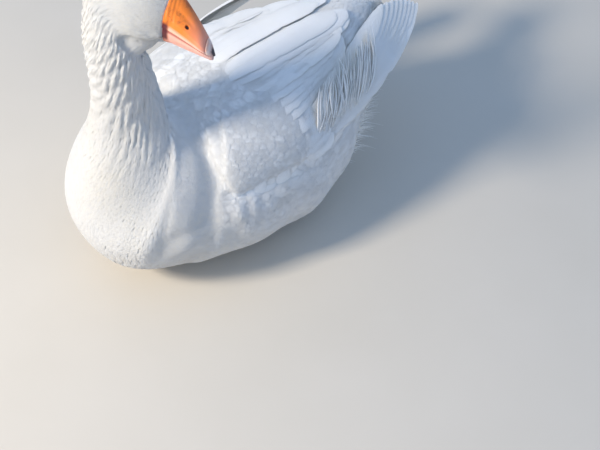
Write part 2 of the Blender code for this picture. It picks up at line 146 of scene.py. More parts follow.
def headPose(points, share, cocked):
    # lean and nod about the nape by cocked, then turn about an upright axis and shift by share, both 0 to 1
    f = bodyForm
    lean, nod = np.radians(f["headLean"]) * cocked, np.radians(f["headNod"]) * cocked
    turn = np.radians(f["headTurn"]) * share
    jointY, jointZ = f["napeJoint"]
    x, y, z = points[..., 0], points[..., 1] - jointY, points[..., 2] - jointZ
    x, z = np.cos(lean) * x + np.sin(lean) * z, np.cos(lean) * z - np.sin(lean) * x
    y, z = np.cos(nod) * y - np.sin(nod) * z, np.sin(nod) * y + np.cos(nod) * z
    y = y + jointY - f["turnAxisY"]
    turned = np.stack([np.cos(turn) * x - np.sin(turn) * y,
                       np.sin(turn) * x + np.cos(turn) * y + f["turnAxisY"], z + jointZ], -1)
    return turned + share[..., None] * np.array(f["headShift"])


def tubePoint(t, angle):
    # ring at t: x = halfWidth cos(angle), (y, z) = middle + half height (sin + widest cos^2), then headPose
    f = bodyForm
    t, angle = np.broadcast_arrays(np.asarray(t, float), np.asarray(angle, float))
    values = curveThrough(f["stations"], t)
    dorsal, ventral, halfWidth, widest = values[..., 0:2], values[..., 2:4], values[..., 4], values[..., 5]
    sine = np.sin(np.radians(angle))
    height = sine + widest * (1 - sine ** 2)
    middle = (dorsal + ventral) / 2 + (dorsal - ventral) / 2 * height[..., None]
    x = halfWidth * np.cos(np.radians(angle))
    z = np.maximum(middle[..., 1], 0.0)
    share, cocked = [smoothStep((t - first) / (last - first))
                     for first, last in (f["turnStations"], f["leanStations"])]
    posed = headPose(np.stack([x, middle[..., 0], z], -1), share, cocked)
    return posed + bell(t - f["swayStation"], f["swayReach"])[..., None] * np.array(f["neckSway"])


def onSide(angle, side):
    # an angle of the left side, or its mirror image on the right
    return angle if side > 0 else 180 - angle


def sideAngle(angle, side):
    # the angle counted from the goose's own left or right, -180 to 180
    return (onSide(angle, side) + 180) % 360 - 180


wingTract = {
    "low": 21, "span": 45,                   # side angle of the coverts' lower edge, and their reach upward
    "front": 6.80, "frontCurve": 0.40,       # station of the wing's front and how far its ends curve back
    "rear": 3.97, "rearSlant": 0.0067,       # station where the coverts end and its change per degree
    "base": 0.0030,                          # height of the folded arm all over, in metres
    # where breast and wing meet, and the wrist's rounded front, each by side angle
    "stepStations": [8.6, 7.87, 7.26, 6.96, 6.83, 6.96, 7.35], "stepAngles": [-34, -6, 5, 22, 45, 61, 80],
    "wristStations": [6.98, 6.90, 6.48, 5.95, 5.4], "wristAngles": [12, 20, 43, 62, 80],
}
# heights over the tube and depths of the creases, in metres
relief = {"scapular": 0.0028, "flank": 0.0024, "flankSwell": 0.0042, "flankFolds": 0.0016, "crease": 0.0030,
          "wrist": 0.0026, "groove": 0.0030}


def coverEdge(angle):
    # station where the wing coverts end, for a side angle
    return wingTract["rear"] - wingTract["rearSlant"] * (angle - wingTract["low"])


def wingArm(t, angle, fit, runsOn):
    # arm bulge (1 - |2s - 1|^4)(1 - (2q - 1)^2) plus the stand of its rear s^2; runsOn keeps it up behind
    # the coverts
    above = angle - wingTract["low"]
    q = above / wingTract["span"]
    front = wingTract["front"] - wingTract["frontCurve"] * (2 * np.clip(q, 0, 1) - 1) ** 2
    s = (front - t) / (front - coverEdge(angle))
    above = np.clip(above, 0, 60)
    fade = np.clip(0.70 - 0.006 * above - 0.00016 * above ** 2, 0, 1)
    lift = fit["bulge"] * hump(s, 4) * hump(q) + fit["stand"] * fade * np.clip(s, 0, 1) ** 2
    edges = smoothStep(s / 0.05) * between(angle, 17.5, 3.5, 72, 10)
    if not runsOn:
        edges = edges * smoothStep((1.05 - s) / 0.08)
    return (wingTract["base"] + lift) * edges


def creaseStation(a):
    # where the breast's feathers meet the wing, for a side angle
    return np.interp(a, wingTract["stepAngles"], wingTract["stepStations"])


def bodyLift(t, angle, runsOn=False):
    # how far the outer surface stands above the tube: wings, scapulars, flanks and the creases between
    lift = np.zeros(np.broadcast(t, angle).shape)
    for fit in wings.values():
        a = sideAngle(angle, fit["side"])
        lift = lift + wingArm(t, a, fit, runsOn)
        # the cushions of the scapulars and of the flanks: q across each, s along it
        q, s = (a - 67) / 19, (6.30 - t) / 1.97
        scapular = relief["scapular"] + 0.25 * fit["bulge"] * hump(s, 4) * hump(q)
        lift += scapular * between(a, 62, 8, 94, 8) * between(t, 3.2, 1.4, 6.5, 0.6)
        q, s = (a + 50) / 68, (6.92 - t) / 4.4
        folds = relief["flankFolds"] * np.cos(s * 6 * math.pi + q * 2.0)
        flank = relief["flank"] + (relief["flankSwell"] * hump(s, 4) + folds) * hump(q)
        lift += flank * between(a, -56, 14, 20, 3) * between(t, 2.2, 0.7, 7.0, 0.3)
        lift -= relief["crease"] * bell(t - creaseStation(a), 0.42) * between(a, -26, 20, 78, 18)
        # the rounded front of the wrist, then the groove between wing and flank
        behind = np.interp(a, wingTract["wristAngles"], wingTract["wristStations"]) - t
        wrist = relief["wrist"] * smoothStep(behind / 0.12) * bell(np.clip(behind, 0, None), 1.3)
        lift += wrist * between(a, 15, 6, 80, 16)
        lift -= relief["groove"] * bell(a - 19.0, 2.6) * between(t, 4.1, 0.5, 6.9, 0.4)
    return lift


neckFurrows = {"count": 30, "slant": 38, "height": 0.0019, "middle": 0.35, "piecesPerStation": 1.25}


def neckRidges(t, angle):
    # furrows of the neck: ridges (0.5 + 0.5 cos)^0.6 in staggered pieces 20 mm long, slanting to the back
    side = np.where(np.cos(np.radians(angle)) > 0, sideAngle(angle, 1), sideAngle(angle, -1))
    slant = neckFurrows["slant"] * smoothStep((side + 75) / 130)
    place = np.radians(side + slant * (t - 13))
    wander = 0.8 * np.sin(2.3 * t + 5 * place) + 0.6 * np.sin(5.3 * t - 7 * place)
    around = neckFurrows["count"] * place + wander
    ridge = (0.5 + 0.5 * np.cos(around)) ** 0.6
    turns = 2 * math.pi * neckFurrows["piecesPerStation"] * t
    pieces = 0.5 + 0.5 * np.sin(turns + 0.38 * around + 1.1 * np.sin(3 * place + t))
    where = between(t, 10.4, 2.2, 15.5 - 0.6 * smoothStep((-side - 10) / 40), 0.9)
    return ridge * (0.25 + 0.75 * smoothStep(pieces * 1.5)) * where


jaw = {"stations": [14.83, 15.45, 16.12, 16.95, 17.88], "angles": [-35, -40, -48, -61, -54],
       "cheek": 0.0012, "step": 0.0036}


def jawLine(t, angle):
    # the cheek's full lower edge: a bell along the jaw above, and below it a step in to the throat
    lift = 0
    for side in (1, -1):
        below = np.interp(t, jaw["stations"], jaw["angles"]) - sideAngle(angle, side)
        step = smoothStep((below + 2) / 6) * (1 - smoothStep((below - 8) / 32))
        shape = jaw["cheek"] * bell(below + 10, 9) - jaw["step"] * step
        lift = lift + between(t, 14.5, 0.5, 17.95, 0.3) * shape
    return lift


breastFolds = {
    # station, angle, half lengths along and round, turn in degrees, height
    "lumps": [
        (8.72, -35, 0.50, 15, 0, 0.0042), (7.62, -9, 0.42, 17, 35, 0.0048),       # pillows above the floor
        (7.90, 16, 0.55, 15, 0, -0.0018), (6.30, -24, 0.60, 12, 0, 0.0026),
        (9.60, -118, 1.10, 38, 0, 0.0020), (9.3, -60, 0.6, 16, 0, 0.0016),
        (6.30, 8, 0.16, 9, 30, 0.0030), (5.92, 9, 0.15, 8, 30, 0.0030),           # crumpled flank feathers
        (5.55, 6, 0.16, 9, 25, 0.0026), (6.10, -6, 0.16, 8, 40, 0.0024),
        (5.15, 11, 0.22, 5, 20, 0.0022), (5.70, -9, 0.18, 8, 30, 0.0018),
    ],
    "valley": ([7.9, 8.4, 8.8, 9.2, 9.5, 10.3, 11.3], [-33, -19, -4, 3, 10, -5, -26]),
    "valleyDepth": 0.0014, "valleyHalf": 12.0, "waves": 0.0008,
}


def fromValley(t, angle):
    # degrees from the valley between the breast's lobes, counted on the left side
    return sideAngle(angle, 1) - np.interp(t, *breastFolds["valley"])


def softLumps(t, angle):
    # slow unevenness of a live bird's coat in crossed waves, the lumps as turned bells exp(-(u^2 + v^2))
    # and the valley between the breast's lobes
    a = np.radians(angle)
    waves = np.sin(2.1 * t + 3 * a) * np.sin(1.3 * t - 2 * a + 0.7) + 0.6 * np.sin(3.7 * t + 5 * a + 1.9)
    lift = breastFolds["waves"] * waves * smoothStep((10.5 - t) / 2.5)
    left = sideAngle(angle, 1)
    for at, middle, along, around, turn, height in breastFolds["lumps"]:
        u, v = (t - at) / along, (left - middle) / around
        c, k = math.cos(math.radians(turn)), math.sin(math.radians(turn))
        lift = lift + height * np.exp(-((u * c + v * k) ** 2 + (v * c - u * k) ** 2))
    shallower = 1 - 0.62 * smoothStep((t - 8.7) / 0.8)
    deep = breastFolds["valleyDepth"] * smoothStep((t - 7.8) / 0.4) * shallower
    valley = bell(fromValley(t, angle), breastFolds["valleyHalf"] * (1 + smoothStep((t - 8.8) / 1.0)))
    return lift - deep * valley * smoothStep((11.6 - t) / 1.0)


def inCrease(t, angle):
    # 1 in the creases between breast, wings and lobes, where feathers lie flatter, wider and closer; else 0
    amount = 0
    for side in (1, -1):
        a = sideAngle(angle, side)
        amount = amount + bell(t - creaseStation(a), 0.55) * between(a, -40, 20, 90, 16)
        # where the lie fans out from the neck's side to the wing's front the feathers would part
        amount = amount + between(t, 7.1, 0.3, 10.0, 0.7) * between(a, -22, 20, 80, 20)
    amount = amount + 0.8 * bell(fromValley(t, angle), 12) * between(t, 7.6, 0.4, 10.2, 0.8)
    return np.minimum(amount, 1)


coatThickness = {"stations": [0, 2, 7, 10, 13, 14.5, 16, 17.6, 18],
                 "millimetres": [4.5, 5, 4.5, 2.8, 1.9, 1.5, 1.2, 1.0, 1.4], "lessInCrease": 0.68}


def coatDepth(t, angle):
    # from the coat's outer surface down to the skin, in metres
    depth = np.interp(t, coatThickness["stations"], coatThickness["millimetres"]) * 0.001
    return depth * (1 - coatThickness["lessInCrease"] * inCrease(t, angle))


def coatLift(t, angle):
    # all that raises the body coat over the tube
    ridges = neckFurrows["height"] * (neckRidges(t, angle) - neckFurrows["middle"])
    return bodyLift(t, angle) + softLumps(t, angle) + ridges + jawLine(t, angle)


def wingLift(t, angle):
    # the same under the wings' feathers: the arm runs on past its coverts and the lumps are softer
    return bodyLift(t, angle, True) + 0.4 * softLumps(t, angle)


def makeForm(lift):
    # the tube raised along its normal by a lift, kept as rows of points and normals
    rows = np.arange(0, lastStation + 1e-6, bodyForm["rowStep"])
    columns = np.arange(0, 360, bodyForm["columnStep"])
    t, angle = np.meshgrid(rows, columns, indexing="ij")

    def normalsOf(points):
        around = np.roll(points, -1, 1) - np.roll(points, 1, 1)
        return unit(np.cross(around, np.gradient(points, axis=0)))
    tube = tubePoint(t, angle)
    raised = tube + normalsOf(tube) * lift(t, angle)[..., None]
    both = np.concatenate([raised, normalsOf(raised)], -1)
    return {"t": t, "angle": angle, "points": raised, "both": both}


def sampleForm(form, t, angle):
    # points and normals read from a form; behind the rump it runs on straight along tailWay
    t, angle = np.broadcast_arrays(t, angle)
    row = np.clip(t / bodyForm["rowStep"], 0, len(form["both"]) - 1.001)
    value = readGrid(form["both"], row, (angle % 360) / bodyForm["columnStep"])
    past = np.clip(-t, 0, None)[..., None] * bodyForm["tailPace"]
    return value[..., :3] + past * unit(np.array(bodyForm["tailWay"])), unit(value[..., 3:])


coatForm = makeForm(coatLift)
wingForm = makeForm(wingLift)
report("forms made")


# meshes

def fillMesh(name, points, quads, triangles=None, maps=None, values=None, sharp=None):
    # a mesh straight from arrays; maps are per-vertex UVs and values per-vertex numbers
    mesh = bpy.data.meshes.new(name)
    triangles = np.zeros((0, 3), int) if triangles is None else triangles
    corners = np.concatenate([quads.ravel(), triangles.ravel()])
    starts = np.concatenate([np.arange(len(quads)) * 4, len(quads) * 4 + np.arange(len(triangles)) * 3])
    mesh.vertices.add(len(points))
    mesh.vertices.foreach_set("co", np.asarray(points, np.float32).ravel())
    mesh.loops.add(len(corners))
    mesh.loops.foreach_set("vertex_index", corners.astype(np.int32))
    mesh.polygons.add(len(starts))
    mesh.polygons.foreach_set("loop_start", starts.astype(np.int32))
    mesh.update(calc_edges=True)
    for mapName, uv in (maps or {}).items():
        layer = mesh.uv_layers.new(name=mapName)
        layer.data.foreach_set("uv", np.asarray(uv, np.float32)[corners].ravel())
    for valueName, numbers in (values or {}).items():
        layer = mesh.attributes.new(valueName, "FLOAT", "POINT")
        layer.data.foreach_set("value", np.asarray(numbers, np.float32).ravel())
    mesh.shade_smooth()
    if sharp:
        mesh.set_sharp_from_angle(angle=math.radians(sharp))
    return mesh


def addPiece(name, mesh, material, replaced=()):
    # an object at the origin that rides the goose's one body
    piece = bpy.data.objects.new(name, mesh)
    bpy.context.scene.collection.objects.link(piece)
    mesh.materials.append(material)
    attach(piece, "root")
    if replaced:
        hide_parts(*replaced)
    return piece


def sheetQuads(rows, columns, wrap=False):
    # quads of a grid of vertices, normals on the side of (row step) x (column step)
    i, j = np.meshgrid(np.arange(rows - 1), np.arange(columns if wrap else columns - 1), indexing="ij")
    here, there = i * columns, (i + 1) * columns
    k = (j + 1) % columns
    return np.stack([here + j, there + j, there + k, here + k], -1).reshape(-1, 4)


def tubeFaces(rings, sides, count=1):
    # quads and end fans of many closed rods of rings x sides vertices each
    quads = sheetQuads(rings, sides, wrap=True)
    j = np.arange(1, sides - 1)
    start = np.stack([np.zeros_like(j), j, j + 1], -1)
    end = (rings - 1) * sides + start[:, ::-1]
    triangles = np.concatenate([start, end])
    shift = (np.arange(count) * rings * sides)[:, None, None]
    return (quads[None] + shift).reshape(-1, 4), (triangles[None] + shift).reshape(-1, 3)


def pairMap(first, second):
    # two grids that broadcast against each other, as one map
    return np.stack(np.broadcast_arrays(first, second), -1)


def bakePlace(t, angle):
    # a root's place on the unwrap of the skin: u round the body, v along it, inside a margin
    margin = 0.02
    u, v = (angle % 360) / 360, np.clip(t, 0, lastStation) / lastStation
    return margin + (1 - 2 * margin) * np.stack([u, v], -1)


# laying feathers on a form

def localAxes(form, t, angle, swing):
    # the (station, angle) steps per metre along the lie (toward the tail, turned by swing) and across it
    t0 = np.clip(t, 0.05, lastStation - 0.05)
    normal = sampleForm(form, t0, angle)[1]
    byT = (sampleForm(form, t0 + 0.04, angle)[0] - sampleForm(form, t0 - 0.04, angle)[0]) / 0.08
    byA = (sampleForm(form, t0, angle + 1)[0] - sampleForm(form, t0, angle - 1)[0]) / 2
    lie = -unit(byT)
    across = unit(np.cross(normal, lie))
    c, s = np.cos(np.radians(swing))[..., None], np.sin(np.radians(swing))[..., None]
    lie, across = lie * c + across * s, across * c - lie * s
    e, f, g = (byT * byT).sum(-1), (byT * byA).sum(-1), (byA * byA).sum(-1)
    smallest = (0.010 * 0.0002) ** 2           # keeps the steps finite where the form folds
    det = np.maximum(e * g - f * f, smallest)

    def inForm(way):
        r1, r2 = (way * byT).sum(-1), (way * byA).sum(-1)
        return (g * r1 - f * r2) / det, (e * r2 - f * r1) / det
    return inForm(lie), inForm(across)


def vaneWidth(s, pointed):
    # half width along a feather: grows from the root, then closes round (0) or to a point (1)
    grow = 0.45 + 0.55 * smoothStep(s / 0.42)
    roundEnd = np.sqrt(np.clip(1 - (np.clip(s - 0.55, 0, None) / 0.455) ** 2.2, 0, 1))
    pointEnd = (1 - s ** 2.2) ** 0.8
    return grow * (roundEnd * (1 - pointed) + pointEnd * pointed)


def layFeathers(form, t, angle, length, width, rise, swing=0.0, bend=0.0, tip=0.0, curl=0.0,
                camber=0.12, pointed=0.3, rings=6, columns=3, seed=1, keepOff=None):
    # each vane follows the form from its root: station and angle march along the lie, the height goes from
    # -rise (1 - s)^2.7 at the root to tip s^2 + curl s^4, and the sides drop by camber x half width x w^2
    chance = np.random.default_rng(seed)
    n = len(t)
    length, width, rise, swing, bend, tip, curl = [np.broadcast_to(np.asarray(v, float), (n,)).copy()
                                                   for v in (length, width, rise, swing, bend, tip, curl)]
    s = np.linspace(0, 1, rings) ** 0.85
    s[-1] = 0.985
    pathT, pathA = np.zeros((n, rings)), np.zeros((n, rings))
    sideT, sideA = np.zeros((n, rings)), np.zeros((n, rings))
    nowT, nowA = t.copy(), angle.copy()
    for i in range(rings):
        (lieT, lieA), (acrossT, acrossA) = localAxes(form, nowT, nowA, swing)
        pathT[:, i], pathA[:, i], sideT[:, i], sideA[:, i] = nowT, nowA, acrossT, acrossA
        if i < rings - 1:
            step = length * (s[i + 1] - s[i])
            nowT, nowA = nowT + step * lieT, nowA + step * lieA
    w = np.linspace(-1, 1, columns)
    half = 0.5 * width[:, None] * vaneWidth(s, pointed)[None]
    y = half[..., None] * w + (bend[:, None] * s ** 2)[..., None]
    height = -rise[:, None] * (1 - s) ** 2.7 + tip[:, None] * s ** 2 + curl[:, None] * s ** 4
    uneven = chance.normal(0, 0.00004, n)[:, None, None]       # one vane over its neighbour, in metres
    height = height[..., None] - camber * half[..., None] * w ** 2 + uneven
    points, normals = sampleForm(form, pathT[..., None] + y * sideT[..., None],
                                 pathA[..., None] + y * sideA[..., None])
    points = points + normals * height[..., None]
    points[..., 2] = np.maximum(points[..., 2], 0.0006)        # pressed flat on the floor
    vaneMap = pairMap(0.5 + 0.5 * w, s[:, None])
    block = {"points": points, "vane": np.broadcast_to(vaneMap, (n,) + vaneMap.shape),
             "root": bakePlace(t, angle), "tone": chance.uniform(0, 1, n),
             "size": np.stack([width, length], -1)}
    flat = points.reshape(n, -1, 3)
    extent = np.linalg.norm(flat.max(1) - flat.min(1), axis=-1)
    chosen = extent < 1.5 * length + 1.2 * width     # in the fold behind the neck a few would stretch
    if keepOff is not None:
        chosen &= keepOff(points)
    return {key: value[chosen] for key, value in block.items()}


def featherPiece(name, block, material, replaced=(), sharp=55):
    # one joined mesh of closed vanes; OFBake holds each vane as a patch 0.003 across at its root's place
    n, rings, sides = block["points"].shape[:3]
    quads, triangles = tubeFaces(rings, sides, n)
    bake = block["root"][:, None, None] + (block["vane"] - 0.5) * 0.003
    real = block["vane"] * block["size"][:, None, None] * 100     # in centimetres, so barbs keep a size
    tone = np.broadcast_to(block["tone"][:, None, None], (n, rings, sides))
    mesh = fillMesh(name, block["points"].reshape(-1, 3), quads, triangles,
                    {"OFBake": bake.reshape(-1, 2), "vane": block["vane"].reshape(-1, 2),
                     "vaneSize": real.reshape(-1, 2)}, {"tone": tone.ravel()}, sharp)
    print(f"    {name}: {n} vanes, {len(quads) * 2 + len(triangles)} triangles")
    return addPiece(name, mesh, material, replaced)


def scatterRoots(form, density, seed):
    # even spread: the R2 sequence (multiples of 1/g and 1/g^2, g^3 = g + 1) read through the running sum of
    # density x area, first by row and then within the row
    points = form["points"]
    around = (np.roll(points, -1, 1) - np.roll(points, 1, 1)) / 2
    area = np.linalg.norm(np.cross(around, np.gradient(points, axis=0)), axis=-1)
    amount = area * density(form["t"], form["angle"])
    rowSum = amount.sum(1)
    upTo = np.concatenate([[0], np.cumsum(rowSum)])
    flat = np.cumsum(amount.ravel())
    index = np.arange(int(amount.sum())) + 17 * seed
    u, v = (0.5 + index * 0.7548776662) % 1, (0.5 + index * 0.5698402910) % 1
    row = np.clip(np.searchsorted(upTo, u * upTo[-1], side="right") - 1, 0, len(rowSum) - 1)
    inRow = (u * upTo[-1] - upTo[row]) / np.maximum(rowSum[row], 1e-12)
    cell = np.clip(np.searchsorted(flat, upTo[row] + v * rowSum[row] * 0.999999), 0, flat.size - 1)
    before = np.where(cell > 0, flat[np.maximum(cell - 1, 0)], 0)
    inCell = (upTo[row] + v * rowSum[row] - before) / np.maximum(amount.ravel()[cell], 1e-12)
    t = (row + inRow) * bodyForm["rowStep"]
    angle = (cell % points.shape[1] + np.clip(inCell, 0, 1)) * bodyForm["columnStep"]
    return np.clip(t, 0.02, lastStation - 0.02), angle


# materials

def hexColour(code):
    # sRGB hex to linear red, green, blue, alpha
    channels = [int(code[i:i + 2], 16) / 255 for i in (1, 3, 5)]
    return tuple([c / 12.92 if c <= 0.04045 else ((c + 0.055) / 1.055) ** 2.4 for c in channels]) + (1.0,)


def addNode(tree, kind, settings=None, links=None):
    # one node with its settings (properties or socket values) and what feeds its sockets
    node = tree.nodes.new(kind)
    for key, value in (settings or {}).items():
        if isinstance(key, str) and hasattr(node, key):
            setattr(node, key, value)
        else:
            node.inputs[key].default_value = value
    for key, source in (links or {}).items():
        tree.links.new(source, node.inputs[key])
    return node


def newMaterial(name, settings):
    # a principled material with the given values on its own sockets
    material = bpy.data.materials.new(name)
    material.use_nodes = True
    tree = material.node_tree
    shader = tree.nodes["Principled BSDF"]
    for key, value in settings.items():
        shader.inputs[key].default_value = value
    return material, tree, shader


def tintWhere(tree, colour, code, *gates):
    # turns a colour (a socket, or a hex code) toward another where every gate is open; a gate is what it
    # reads, where it begins to open, where it is open, and how far it opens
    amount = None
    for source, begins, opens, most in gates:
        gate = addNode(tree, "ShaderNodeMapRange", {"From Min": begins, "From Max": opens, "To Max": most},
                       {"Value": source}).outputs[0]
        amount = gate if amount is None else addNode(tree, "ShaderNodeMath", {"operation": "MULTIPLY"},
                                                     {0: amount, 1: gate}).outputs[0]
    settings, links = {"data_type": "RGBA", 7: hexColour(code)}, {0: amount}
    if isinstance(colour, str):
        settings[6] = hexColour(colour)
    else:
        links[6] = colour
    return addNode(tree, "ShaderNodeMix", settings, links).outputs[2]


def mottledMaterial(name, settings, scale, detail, light, dark):
    # two near colours mixed by a noise; scale is its grains per metre
    material, tree, shader = newMaterial(name, settings)
    place = addNode(tree, "ShaderNodeTexCoord")
    grain = addNode(tree, "ShaderNodeTexNoise", {"Scale": scale, "Detail": detail},
                    {"Vector": place.outputs["Object"]})
    colour = addNode(tree, "ShaderNodeMix", {"data_type": "RGBA", 6: hexColour(light), 7: hexColour(dark)},
                     {0: grain.outputs[0]})
    tree.links.new(colour.outputs[2], shader.inputs["Base Color"])
    return material


plumage = {
    "lit": "#F6F4EE", "shade": "#E9EAEA", "cream": "#F1EAD8", "soil": "#BFA882",
    "barbPitch": 0.0008,       # real barbs lie 0.35 mm apart, drawn twice as coarse to show
    "barbDepth": 0.00010, "barbSlant": -1.6,
    "roughness": 0.78,
    "soilHeight": 0.085, "soilFront": (-0.070, -0.150),        # soil lies below this and toward the breast
}


def plumageColour(tree, place):
    # white keratin with cream stains in slow patches and dry soil low on the breast; skin and coat share it
    slow = addNode(tree, "ShaderNodeTexNoise", {"Scale": 9.0, "Detail": 3.0, "Roughness": 0.55},
                   {"Vector": place.outputs["Object"]})
    fine = addNode(tree, "ShaderNodeTexNoise", {"Scale": 210.0, "Detail": 3.0, "Roughness": 0.6},
                   {"Vector": place.outputs["Object"]})
    split = addNode(tree, "ShaderNodeSeparateXYZ", None, {"Vector": place.outputs["Object"]})
    white = tintWhere(tree, plumage["lit"], plumage["cream"], (slow.outputs[0], 0.45, 0.75, 0.55))
    return tintWhere(tree, white, plumage["soil"], (split.outputs["Z"], plumage["soilHeight"], 0.0, 1.0),
                     (split.outputs["Y"], *plumage["soilFront"], 1.0), (fine.outputs[0], 0.44, 0.70, 0.9))


def makePlumage(name, hasBarbs):
    # beta keratin is clear and pithy, so its air cells scatter all light: white, matt, with softly lit edges
    material, tree, shader = newMaterial(name, {
        "Roughness": plumage["roughness"], "IOR": 1.54, "Specular IOR Level": 0.30, "Sheen Weight": 0.25,
        "Sheen Roughness": 0.45, "Subsurface Weight": 0.35, "Subsurface Scale": 0.003,
        "Subsurface Radius": (1.0, 1.0, 1.0)})
    colour = plumageColour(tree, addNode(tree, "ShaderNodeTexCoord"))
    tone = addNode(tree, "ShaderNodeAttribute", {"attribute_name": "tone"})
    toned = tintWhere(tree, colour, plumage["shade"], (tone.outputs["Fac"], 0.0, 1.0, 0.35))
    tree.links.new(toned, shader.inputs["Base Color"])
    if hasBarbs:
        # barbs: sin(turns x (place along the vane + slant x distance from the shaft)) as bump
        size = addNode(tree, "ShaderNodeUVMap", {"uv_map": "vaneSize"})
        vaneMap = addNode(tree, "ShaderNodeUVMap", {"uv_map": "vane"})
        along = addNode(tree, "ShaderNodeSeparateXYZ", None, {"Vector": size.outputs[0]})
        across = addNode(tree, "ShaderNodeSeparateXYZ", None, {"Vector": vaneMap.outputs[0]})
        centred = addNode(tree, "ShaderNodeMath", {"operation": "SUBTRACT", 1: 0.5}, {0: across.outputs[0]})
        outward = addNode(tree, "ShaderNodeMath", {"operation": "ABSOLUTE"}, {0: centred.outputs[0]})
        slanted = addNode(tree, "ShaderNodeMath", {"operation": "MULTIPLY_ADD", 1: plumage["barbSlant"]},
                          {0: outward.outputs[0], 2: along.outputs[1]})
        turns = 2 * math.pi / (plumage["barbPitch"] * 100)
        phase = addNode(tree, "ShaderNodeMath", {"operation": "MULTIPLY", 1: turns},
                        {0: slanted.outputs[0]})
        wave = addNode(tree, "ShaderNodeMath", {"operation": "SINE"}, {0: phase.outputs[0]})
        bump = addNode(tree, "ShaderNodeBump", {"Strength": 0.5, "Distance": plumage["barbDepth"]},
                       {"Height": wave.outputs[0]})
        tree.links.new(bump.outputs[0], shader.inputs["Normal"])
    return material


contourFeather = makePlumage("contour feather", True)
downFeather = makePlumage("down", False)
featheredSkin = makePlumage("feathered skin", False)
# feather shaft: solid horn, faintly yellow and half gloss against the matt vane
quillHorn = mottledMaterial("quill horn", {"Roughness": 0.42, "IOR": 1.54}, 60.0, 2.0, "#F4F1E8", "#E8E1D0")

# skin

skin = {"rows": 300, "columns": 160}


def buildSkin():
    # the coat's form moved in by the coat's depth, closed by a point at the rump and at the bill
    t = np.linspace(0, lastStation, skin["rows"])[:, None]
    angle = (np.arange(skin["columns"]) * 360 / skin["columns"])[None]
    t, angle = np.broadcast_arrays(t, angle)
    points, normals = sampleForm(coatForm, t, angle)
    points = points - normals * coatDepth(t, angle)[..., None]
    points[..., 2] = np.maximum(points[..., 2], 0.0002)
    rows, columns = points.shape[:2]
    ends = np.stack([points[0].mean(0), points[-1].mean(0)])
    tip, lastRow = rows * columns, (rows - 1) * columns
    j = np.arange(columns)
    k = (j + 1) % columns
    fans = np.concatenate([np.stack([k, j, np.full_like(j, tip)], -1),
                           np.stack([lastRow + j, lastRow + k, np.full_like(j, tip + 1)], -1)])
    bake = np.concatenate([bakePlace(t, angle).reshape(-1, 2), [[0.5, 0.01], [0.5, 0.99]]])
    mesh = fillMesh("skin", np.concatenate([points.reshape(-1, 3), ends]),
                    sheetQuads(rows, columns, wrap=True)[:, ::-1], fans,
                    {"OFBake": bake}, {"tone": np.full(tip + 2, 0.5)})
    flesh = ["head", "neck_upper", "neck_lower", "breast", "trunk", "rump"]
    flesh += [part + "_" + word for word in wings for part in ("wing_cover", "scapulars", "flank")]
    return addPiece("skin", mesh, featheredSkin, flesh)


buildSkin()
report("skin made")

# coat of head, neck and body

eye = {
    "station": 16.72, "angle": 25.0, "radius": 0.0082, "depth": 0.0057,
    "keepOff": 0.0075, "rootKeepOff": 0.0055,    # feathers and their roots stay this far from its opening
    "corneaBulge": 0.0005, "lidRim": 0.0013, "lidSink": 0.0028, "lidThickness": 0.0012,
    "openingHigh": 37, "openingLonger": 8, "lidEnd": 76,         # degrees from the way the eye looks
    "ballRows": 33, "lidRows": 22, "around": 48,
}


def eyeFrame(side):
    # centre of the ball, the way it looks, and two ways square to that (forward along the head, and up)
    angle = onSide(eye["angle"], side)
    t = np.array(eye["station"])
    surface, ahead = tubePoint(t, angle), tubePoint(t + 0.05, angle)
    above = tubePoint(t, angle + side * 1.0)
    forward, up = unit(ahead - surface), unit(above - surface)
    out = unit(np.cross(up, forward)) * side
    forward = unit(forward - out * (forward @ out))
    return surface - out * eye["depth"], out, forward, np.cross(out, forward) * side


def clearOfEyes(points):
    # a feather's root may start under the lid's rim, the rest stays outside it
    chosen = np.ones(len(points), bool)
    for side in (1, -1):
        centre, out = eyeFrame(side)[:2]
        middle = centre + out * eye["radius"] * 0.75
        near = np.linalg.norm(points - middle, axis=-1).min(2)
        chosen &= (near[:, 0] > eye["rootKeepOff"]) & (near[:, 1:].min(1) > eye["keepOff"])
    return chosen


# along the body, station by station: length, width, spacing along and across, all in millimetres
contour = {
    "station": [0, 2, 4, 6, 7, 8, 9, 10, 11, 12, 13, 14, 15, 16, 17, 18],
    "length": [36, 36, 34, 30, 25, 21, 20, 18, 17, 15, 13, 10.5, 8.0, 6.2, 4.6, 3.0],
    "width": [13, 13, 12, 10, 8.6, 7.4, 6.4, 4.8, 3.6, 3.0, 2.7, 2.5, 2.3, 2.0, 1.6, 1.2],
    "along": [8, 8, 8, 7, 5.6, 4.8, 4.6, 4.2, 4.0, 3.6, 3.1, 2.6, 2.1, 1.7, 1.3, 1.0],
    "across": [7, 7, 6.5, 5.5, 4.5, 3.8, 3.2, 2.4, 1.8, 1.5, 1.4, 1.35, 1.25, 1.15, 0.95, 0.75],
}
creaseFeathers = {"closer": 0.9, "shorter": 0.12, "wider": 0.15, "flatter": 0.6}


def contourSize(key, t):
    # a size of the contour feathers at a station, in metres
    return np.interp(t, contour["station"], contour[key]) * 0.001


